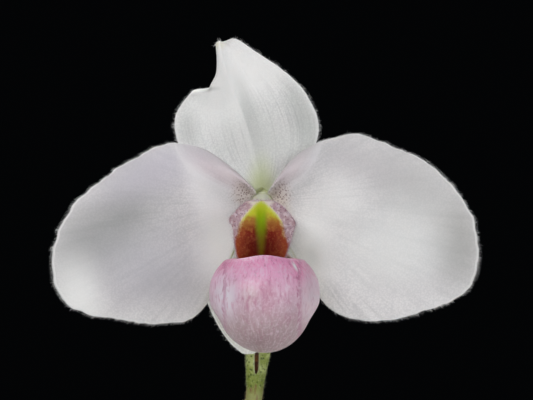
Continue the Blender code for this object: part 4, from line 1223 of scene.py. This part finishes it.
def bract_finish():
    """A leaf skin: yellow-green, with round dark green specks and a pale, thin edge."""
    made, tree, shader = new_material("bract_leaf", Roughness=0.6, Subsurface_Weight=0.25,
                                      Subsurface_Radius=(0.7, 1.0, 0.3), Subsurface_Scale=0.0006)
    place = place_in_mm(tree, FLOWER)
    clouds = add_node(tree, "TexNoise", {"Vector": place, "Scale": 0.55, "Detail": 3.0})
    colour = coat(tree, "#8C9A45", "#BCC780", clouds, 0.36, 0.66)
    upward = add_node(tree, "SeparateXYZ", {"Vector": place}, "Z")
    colour = coat(tree, colour, "#74842A", upward, -35.6, -37.2, 0.85)
    dots = add_node(tree, "TexVoronoi", {"Vector": place, "Scale": 1 / GREEN_SPECK})
    colour = coat(tree, colour, "#46580E", dots, 0.45, 0.16, 0.9)
    around = add_node(tree, "SeparateXYZ", {"Vector": add_node(tree, "TexCoord", {}, "UV")}, "X")
    open_part = add_node(tree, "MapRange", {"Value": upward, "From Min": -36.8, "From Max": -36.0,
                                            "To Max": 0.7})
    for start, end in ((0.03, 0.0), (0.97, 1.0)):
        colour = coat(tree, colour, "#C4CAA0", around, start, end, open_part)
    tree.links.new(colour, shader.inputs["Base Color"])
    roughen(tree, shader, dots, 0.4, 0.2)
    return made


def stalk_finish():
    """A herb stem: dull green, streaked lengthwise with purple-brown."""
    made, tree, shader = new_material("stalk_skin", Roughness=0.55, Subsurface_Weight=0.2,
                                      Subsurface_Radius=(0.6, 1.0, 0.3), Subsurface_Scale=0.0006)
    place = place_in_mm(tree, Vector((0.0, 0.0, 0.0)))
    upward = add_node(tree, "SeparateXYZ", {"Vector": place}, "Z")
    along = add_node(tree, "Mapping", {"Vector": place, "Scale": (1.2, 1.2, 0.3)})
    streaks = add_node(tree, "TexNoise", {"Vector": along, "Scale": 1.0, "Detail": 5.0})
    colour = coat(tree, "#8AA15C", "#8E9350", upward, 20.0, 150.0)
    colour = coat(tree, colour, "#969A5E", upward, NODE_HEIGHT - 14.0, NODE_HEIGHT - 3.0)
    colour = coat(tree, colour, "#7E8A34", upward, NODE_HEIGHT - 1.5, NODE_HEIGHT + 0.5, 0.8)
    brown = add_node(tree, "MapRange", {"Value": upward, "From Min": 40.0, "From Max": 150.0,
                                        "To Min": 0.3, "To Max": 0.75})
    colour = coat(tree, colour, "#7A5236", streaks, 0.46, 0.66, brown)
    tree.links.new(colour, shader.inputs["Base Color"])
    roughen(tree, shader, streaks, 0.3, 0.2)
    return made


def ovary_finish():
    """The ovary: red-brown ribs that turn creamy green towards the bloom."""
    made, tree, shader = new_material("ovary_skin", Roughness=0.55, Subsurface_Weight=0.25,
                                      Subsurface_Radius=(0.8, 0.9, 0.4), Subsurface_Scale=0.0006)
    place = place_in_mm(tree, FLOWER)
    upward = add_node(tree, "SeparateXYZ", {"Vector": place}, "Z")
    mottle = add_node(tree, "TexNoise", {"Vector": place, "Scale": 1.4, "Detail": 4.0})
    colour = coat(tree, "#6A3210", "#A8682C", mottle, 0.4, 0.65)
    colour = coat(tree, colour, "#3A1608", upward, -34.0, -31.0, 0.8)
    colour = coat(tree, colour, "#DDE0BE", upward, -12.0, -3.0)
    tree.links.new(colour, shader.inputs["Base Color"])
    return made


bract_leaf = bract_finish()
stalk_skin = stalk_finish()
ovary_skin = ovary_finish()

# %% [markdown]
# A bud vase is blown and its wall stays thick at the base. Glass of revolution is made by spinning
# its outline. A circle primitive gives a closed ring of points, which are moved on to the outline of
# the wall from the foot over the lip and down the inside, and the spin operator turns it round.

# %% Shape of the vase
VASE_HEIGHT = 112.0
VASE_OUTSIDE = [(0.0, 21.5), (1.6, 23.6), (10, 28.6), (24, 31.0), (38, 28.2), (52, 20.6),
                (66, 13.3), (80, 10.2), (92, 9.7), (103, 10.9), (VASE_HEIGHT, 13.4)]
VASE_WALL = 2.1
VASE_FLOOR = 6.5
VASE_FLOOR_FLAT = 9.0
VASE_BOWL_RISE = 13.0
VASE_STEPS = 112
FOOT_ROUND = 1.1
LIP_STEPS = 7


def outer_radius(height):
    """The vase's outer radius at a height, read from the curve through its stations."""
    curve = smooth_curve(VASE_OUTSIDE, CURVE_STEPS)
    for (z0, r0), (z1, r1) in zip(curve, curve[1:]):
        if z0 <= height <= z1:
            return r0 + (r1 - r0) * (height - z0) / (z1 - z0)
    return curve[-1][1]


def inside_profile(top, steps):
    """(radius, height) of the inner face from the floor's middle up: flat, a round bowl, the wall."""
    bowl_top = VASE_FLOOR + VASE_BOWL_RISE
    spread = outer_radius(bowl_top) - VASE_WALL - VASE_FLOOR_FLAT
    profile = [(0.0, VASE_FLOOR), (0.5 * VASE_FLOOR_FLAT, VASE_FLOOR), (VASE_FLOOR_FLAT, VASE_FLOOR)]
    for degrees in range(6, 91, 6):
        angle = math.radians(degrees)
        profile.append((VASE_FLOOR_FLAT + spread * math.sin(angle),
                        bowl_top - VASE_BOWL_RISE * math.cos(angle)))
    for n in range(1, steps + 1):
        z = bowl_top + (top - bowl_top) * n / steps
        profile.append((outer_radius(z) - VASE_WALL, z))
    return profile


def vase_profile():
    lip = outer_radius(VASE_HEIGHT) - VASE_WALL / 2
    lip_low = VASE_HEIGHT - VASE_WALL / 2
    profile = [(0.0, 0.0), (outer_radius(0.0) - FOOT_ROUND, 0.0)]
    for z in (0.15, 0.5, 1.1, 2.2, 4.0):
        profile.append((outer_radius(z) - FOOT_ROUND * 0.35 * max(0.0, 1.0 - z / 1.1), z))
    profile += [(outer_radius(z), z) for z in np.linspace(6.5, lip_low - 1.0, 46)]
    for n in range(LIP_STEPS + 1):
        angle = math.pi * n / LIP_STEPS
        profile.append((lip + VASE_WALL / 2 * math.cos(angle), lip_low + VASE_WALL / 2 * math.sin(angle)))
    return profile + inside_profile(lip_low - 1.0, 40)[::-1]


def spin_round(name, profile):
    """A solid of revolution about Z, from an outline that starts and ends on the axis."""
    bpy.ops.object.select_all(action="DESELECT")
    bpy.ops.mesh.primitive_circle_add(vertices=len(profile), radius=1.0)
    piece = bpy.context.object
    piece.name = piece.data.name = name
    for point, (radius, height) in zip(piece.data.vertices, profile):
        point.co = Vector((radius, 0.0, height)) * MM
    bpy.ops.object.mode_set(mode="EDIT")
    bpy.ops.mesh.select_all(action="SELECT")
    bpy.ops.mesh.spin(steps=VASE_STEPS, angle=math.tau, center=(0, 0, 0), axis=(0, 0, 1))
    bpy.ops.mesh.select_all(action="SELECT")
    bpy.ops.mesh.remove_doubles(threshold=0.00001)
    bpy.ops.mesh.select_all(action="DESELECT")
    bpy.ops.mesh.select_non_manifold(extend=False)
    bpy.ops.mesh.delete(type="EDGE")
    bpy.ops.mesh.select_all(action="SELECT")
    bpy.ops.mesh.normals_make_consistent(inside=False)
    bpy.ops.object.mode_set(mode="OBJECT")
    bpy.ops.object.shade_smooth_by_angle(angle=math.radians(40))
    return piece


vase = spin_round("blown_vase", vase_profile())
print("vase:", len(vase.data.polygons), "faces")

# %% [markdown]
# Water wets glass and stem; its surface climbs a little at the glass. It fills the belly, a hair's
# breadth inside the glass, and it is opened for the stem by a Boolean with a slightly thicker stem.

# %% Shape of the water
WATER_TOP = 58.9
WATER_GAP = 0.06  # between the water and the glass
MENISCUS = 1.3
STEM_GAP = 0.25


def pour_water():
    wall = inside_profile(WATER_TOP, 26)
    profile = []
    for n, (radius, z) in enumerate(wall):
        r0, z0 = wall[max(n - 1, 0)]
        r1, z1 = wall[min(n + 1, len(wall) - 1)]
        along = math.hypot(r1 - r0, z1 - z0)
        inward = radius - WATER_GAP * (z1 - z0) / along if n else 0.0
        profile.append((inward, z + WATER_GAP * (r1 - r0) / along))
    rim = profile[-1][0]
    for step in (0.15, 0.35, 0.6, 0.9, 1.4, 2.2, 4.0, 8.0):
        profile.append((rim - step, WATER_TOP - MENISCUS * (1 - math.exp(-step))))
    profile.append((0.0, WATER_TOP - MENISCUS))
    water = spin_round("still_water", profile)
    path = even_curve(STEM_PATH, STEM_RINGS)
    path = [path[0] - (path[1] - path[0]) * 2] + path[:STEM_RINGS // 2]
    radii = [STEM_RADIUS + STEM_SWELL + STEM_GAP] * len(path)
    cutter = roll_up("stem_hole", rings_along(path, radii, STEM_SIDES))
    finish_by(water, "BOOLEAN", operation="DIFFERENCE", solver="EXACT", object=cutter)
    bpy.data.objects.remove(cutter)
    return water


water = pour_water()
print("water:", len(water.data.polygons), "faces")

# %% [markdown]
# Soda-lime glass has an IOR of 1.52 and a faint green that only shows in its thick base. Water has
# an IOR of 1.33. Both are all transmission, with the smallest roughness that still renders softly.

# %% Finish of glass and water


def glass_finish():
    """Clear blown soda-lime glass: smooth, with slow waves from the blowing."""
    made, tree, shader = new_material("soda_glass", Base_Color="#F8FCFA", Roughness=0.02, IOR=1.52,
                                      Transmission_Weight=1.0)
    place = place_in_mm(tree, Vector((0.0, 0.0, 0.0)))
    waves = add_node(tree, "TexNoise", {"Vector": place, "Scale": 0.06, "Detail": 1.0})
    roughen(tree, shader, waves, 0.15, 0.8)
    return made


soda_glass = glass_finish()
still_water, _, _ = new_material("still_water", Base_Color="#FAFEFE", Roughness=0.01, IOR=1.333,
                                 Transmission_Weight=1.0)

# %% [markdown]
# Slipper orchids are downy: fine pale hairs stand on every margin, and darker ones on the stem.
# One hair is modelled as a long three-sided cone, which has only four faces. Thousands of copies are
# set on the margins and skins at random lengths and leans, and each piece's hairs are one mesh.

# %% Hairs
chance = np.random.default_rng(20)


def plant_hairs(name, roots, ways, length, thickness):
    """Copies of one cone at roots in metres, pointing along ways. length is (mean, spread) in mm."""
    bpy.ops.object.select_all(action="DESELECT")
    bpy.ops.mesh.primitive_cone_add(vertices=3, radius1=1.0, radius2=0.0, depth=1.0, location=(0, 0, 0.5))
    one = bpy.context.object
    shape = np.array([tuple(one.matrix_world @ v.co) for v in one.data.vertices])
    faces = np.array([list(face.vertices) for face in one.data.polygons])
    bpy.data.objects.remove(one)
    ways = ways / np.linalg.norm(ways, axis=1, keepdims=True)
    across = np.cross(ways, chance.normal(size=ways.shape))
    across /= np.linalg.norm(across, axis=1, keepdims=True)
    up = np.cross(ways, across)
    reach = np.clip(chance.normal(length[0], length[1], len(roots)), 0.3 * length[0], 1.6 * length[0])
    frames = (across * thickness * MM, up * thickness * MM, ways * reach[:, None] * MM)
    points = roots[:, None, :] + sum(shape[None, :, k, None] * frames[k][:, None, :] for k in range(3))
    count = len(shape)
    every = faces[None, :, :] + (np.arange(len(roots)) * count)[:, None, None]
    mesh = bpy.data.meshes.new(name)
    mesh.from_pydata(points.reshape(-1, 3).tolist(), [], every.reshape(-1, 3).tolist())
    piece = bpy.data.objects.new(name, mesh)
    bpy.context.scene.collection.objects.link(piece)
    return piece


def along_edges(edges, density, lean):
    """Roots and directions along margins. An edge is a list of (margin point, point behind it)."""
    roots, ways = [], []
    for edge in edges:
        for (a, behind_a), (b, behind_b) in zip(edge, edge[1:]):
            count = chance.poisson((b - a).length * density)
            for share in chance.random(count):
                root = a.lerp(b, float(share))
                outward = (root - behind_a.lerp(behind_b, float(share))).normalized()
                sway = Vector(chance.normal(0.0, lean, 3).tolist())
                roots.append((root - outward * 0.12) * MM)
                ways.append(outward + sway)
    return np.array(roots), np.array(ways)


def over_faces(piece, density, lean, keep=None):
    """Roots and directions spread evenly over a piece's faces. density is hairs per square mm."""
    mesh = piece.data
    mesh.calc_loop_triangles()
    corners = np.array([[tuple(mesh.vertices[i].co) for i in t.vertices] for t in mesh.loop_triangles])
    normals = np.cross(corners[:, 1] - corners[:, 0], corners[:, 2] - corners[:, 0])
    areas = np.linalg.norm(normals, axis=1) / 2
    wanted = int(areas.sum() / MM ** 2 * density)
    picks = chance.choice(len(areas), wanted, p=areas / areas.sum())
    u, v = chance.random(wanted), chance.random(wanted)
    flip = u + v > 1
    u[flip], v[flip] = 1 - u[flip], 1 - v[flip]
    tri = corners[picks]
    roots = tri[:, 0] + (tri[:, 1] - tri[:, 0]) * u[:, None] + (tri[:, 2] - tri[:, 0]) * v[:, None]
    ways = normals[picks] / (2 * areas[picks])[:, None] + chance.normal(0.0, lean, (wanted, 3))
    if keep is not None:
        held = keep(roots / MM - np.array(FLOWER))
        roots, ways = roots[held], ways[held]
    return roots, ways


def petal_edges(rows):
    return [list(zip(rows[-1], rows[-3]))]


def sepal_edges(rows):
    left = [(row[0], row[2]) for row in rows]
    right = [(row[-1], row[-3]) for row in rows]
    return [left, right, list(zip(rows[-1], rows[-3]))]


MARGIN_DENSITY = 11.0  # hairs on each millimetre of margin
MARGIN_HAIR = (0.72, 0.24)
MARGIN_HAIR_RADIUS = 0.018
hairs = {}
for side, rows in petal_grids.items():
    hairs[f"{side}_petal_hairs"] = plant_hairs(
        f"{side}_petal_hairs", *along_edges(petal_edges(rows), MARGIN_DENSITY, 0.22),
        MARGIN_HAIR, MARGIN_HAIR_RADIUS)
hairs["upper_sepal_hairs"] = plant_hairs(
    "upper_sepal_hairs", *along_edges(sepal_edges(upper_grid), MARGIN_DENSITY, 0.45),
    MARGIN_HAIR, MARGIN_HAIR_RADIUS)
hairs["lower_sepal_hairs"] = plant_hairs(
    "lower_sepal_hairs", *along_edges(sepal_edges(lower_grid), 0.6 * MARGIN_DENSITY, 0.45),
    MARGIN_HAIR, MARGIN_HAIR_RADIUS)
shield_edge = list(zip(shield_outline, [FLOWER + SHIELD_CENTRE] * len(shield_outline)))
hairs["shield_hairs"] = plant_hairs(
    "shield_hairs", *along_edges([shield_edge], 22.0, 0.5), (0.6, 0.25), 0.03)
hairs["bract_hairs"] = plant_hairs("bract_hairs", *over_faces(bract, 6.0, 0.5), (0.4, 0.15), 0.02)
hairs["stem_hairs"] = plant_hairs(
    "stem_hairs", *over_faces(stem, 3.0, 0.4, lambda p: p[:, 2] > WATER_TOP + 2.0 - FLOWER.z),
    (0.45, 0.2), 0.022)
print("hairs:", {name: len(piece.data.polygons) // 4 for name, piece in hairs.items()})

# %% [markdown]
# A plant hair is a clear, empty cell. In a mass they look white on petals and brown on the stem, so
# each kind is a plain, rather rough skin of its own colour with a little sheen.

# %% Finish of the hairs


def hair_finish(name, dull, bright):
    made, tree, shader = new_material(name, Roughness=0.5, Sheen_Weight=0.3)
    place = place_in_mm(tree, FLOWER)
    change = add_node(tree, "TexNoise", {"Vector": place, "Scale": 1.5})
    colour = coat(tree, dull, bright, change, 0.35, 0.65)
    tree.links.new(colour, shader.inputs["Base Color"])
    return made


white_down = hair_finish("white_down", "#EDEDEF", "#FFFFFF")
mauve_down = hair_finish("mauve_down", "#C4A9B4", "#E8DAE2")
brown_down = hair_finish("brown_down", "#A38C64", "#CFC29C")
green_down = hair_finish("green_down", "#B9BE8E", "#E0E3C0")

# %% [markdown]
# Each piece gets its finish and rides on the one body of this object, and the imported node that it
# stands for is hidden.

# %% Put the pieces in place


def put(piece, finish, slot, *nodes):
    piece.data.materials.clear()
    piece.data.materials.append(finish)
    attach(piece, "root")
    if nodes:
        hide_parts(*nodes)


put(petals["left"], petal_white, "petals", "petal_left")
put(petals["right"], petal_white, "petals", "petal_right")
put(upper_sepal, sepal_white, "sepals", "upper_sepal")
put(lower_sepal, sepal_white, "sepals", "lower_sepal")
put(pouch, pouch_pink, "pouch", "pouch")
put(shield, shield_wax, "shield", "shield")
put(column, column_wax, "column", "column")
put(pollen["left"], pollen_paste, "pollen", "anther_left")
put(pollen["right"], pollen_paste, "pollen", "anther_right")
put(ovary, ovary_skin, "ovary", "ovary")
put(bract, bract_leaf, "bract", "bract")
put(stem, stalk_skin, "stem", "stem")
put(vase, soda_glass, "clear_glass", "vase")
put(water, still_water, "water", "water")
put(hairs["left_petal_hairs"], white_down, "petals")
put(hairs["right_petal_hairs"], white_down, "petals")
put(hairs["upper_sepal_hairs"], white_down, "sepals")
put(hairs["lower_sepal_hairs"], white_down, "sepals")
put(hairs["shield_hairs"], mauve_down, "shield")
put(hairs["bract_hairs"], green_down, "bract")
put(hairs["stem_hairs"], brown_down, "stem")

# %% [markdown]
# A pale table top and soft lamps make the studio, with darkness behind, so that the white bloom
# stands out. One large lamp shines from the left above, a weaker one fills from the right, and
# one from above behind shines through the petals and lights the down on their margins.

# %% Floor and light
FLOOR_RADIUS = 2.1
bpy.ops.object.select_all(action="DESELECT")
bpy.ops.mesh.primitive_circle_add(vertices=96, radius=FLOOR_RADIUS, fill_type="NGON",
                                  location=(0.0, 0.0, -0.0002))
floor = bpy.context.object
floor.name = floor.data.name = "table_top"
table_paint, table_tree, table_shader = new_material("table_paint", Roughness=0.6)
table_grain = add_node(table_tree, "TexNoise", {
    "Vector": add_node(table_tree, "TexCoord", {}, "Object"), "Scale": 40.0, "Detail": 3.0})
table_colour = coat(table_tree, "#D4D3D0", "#DCDBD8", table_grain, 0.3, 0.7)
table_tree.links.new(table_colour, table_shader.inputs["Base Color"])
floor.data.materials.append(table_paint)

LAMPS = {
    # place and aim in metres, size in metres, power in watts, colour
    "key_lamp": ((-0.55, -0.8, 0.8), (0.016, -0.01, 0.215), 0.5, 6.6, (1.0, 0.99, 0.98)),
    "fill_lamp": ((0.82, -0.75, 0.4), (0.016, -0.01, 0.2), 0.7, 4.2, (0.97, 0.985, 1.0)),
    "back_lamp": ((-0.1, 0.5, 0.8), (0.016, 0.0, 0.215), 0.45, 5.5, (1.0, 1.0, 1.0)),
}
for name, (place, aim, size, power, colour) in LAMPS.items():
    bpy.ops.object.light_add(type="AREA", location=place)
    lamp = bpy.context.object
    lamp.name = name
    lamp.rotation_euler = (Vector(aim) - Vector(place)).to_track_quat("-Z", "Y").to_euler()
    lamp.data.shape = "DISK"
    lamp.data.size = size
    lamp.data.energy = power
    lamp.data.color = colour

world = bpy.data.worlds.new("dark_room")
bpy.context.scene.world = world
world.use_nodes = True
backdrop = world.node_tree.nodes["Background"]
backdrop.inputs["Color"].default_value = linear("#0C0E10")
backdrop.inputs["Strength"].default_value = 0.3
bpy.context.scene.view_settings.view_transform = "Standard"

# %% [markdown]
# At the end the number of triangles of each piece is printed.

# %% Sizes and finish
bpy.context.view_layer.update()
totals = {piece.name: sum(len(face.vertices) - 2 for face in piece.data.polygons)
          for piece in bpy.context.scene.objects if piece.type == "MESH" and piece.data.materials}
print("triangles:", totals)
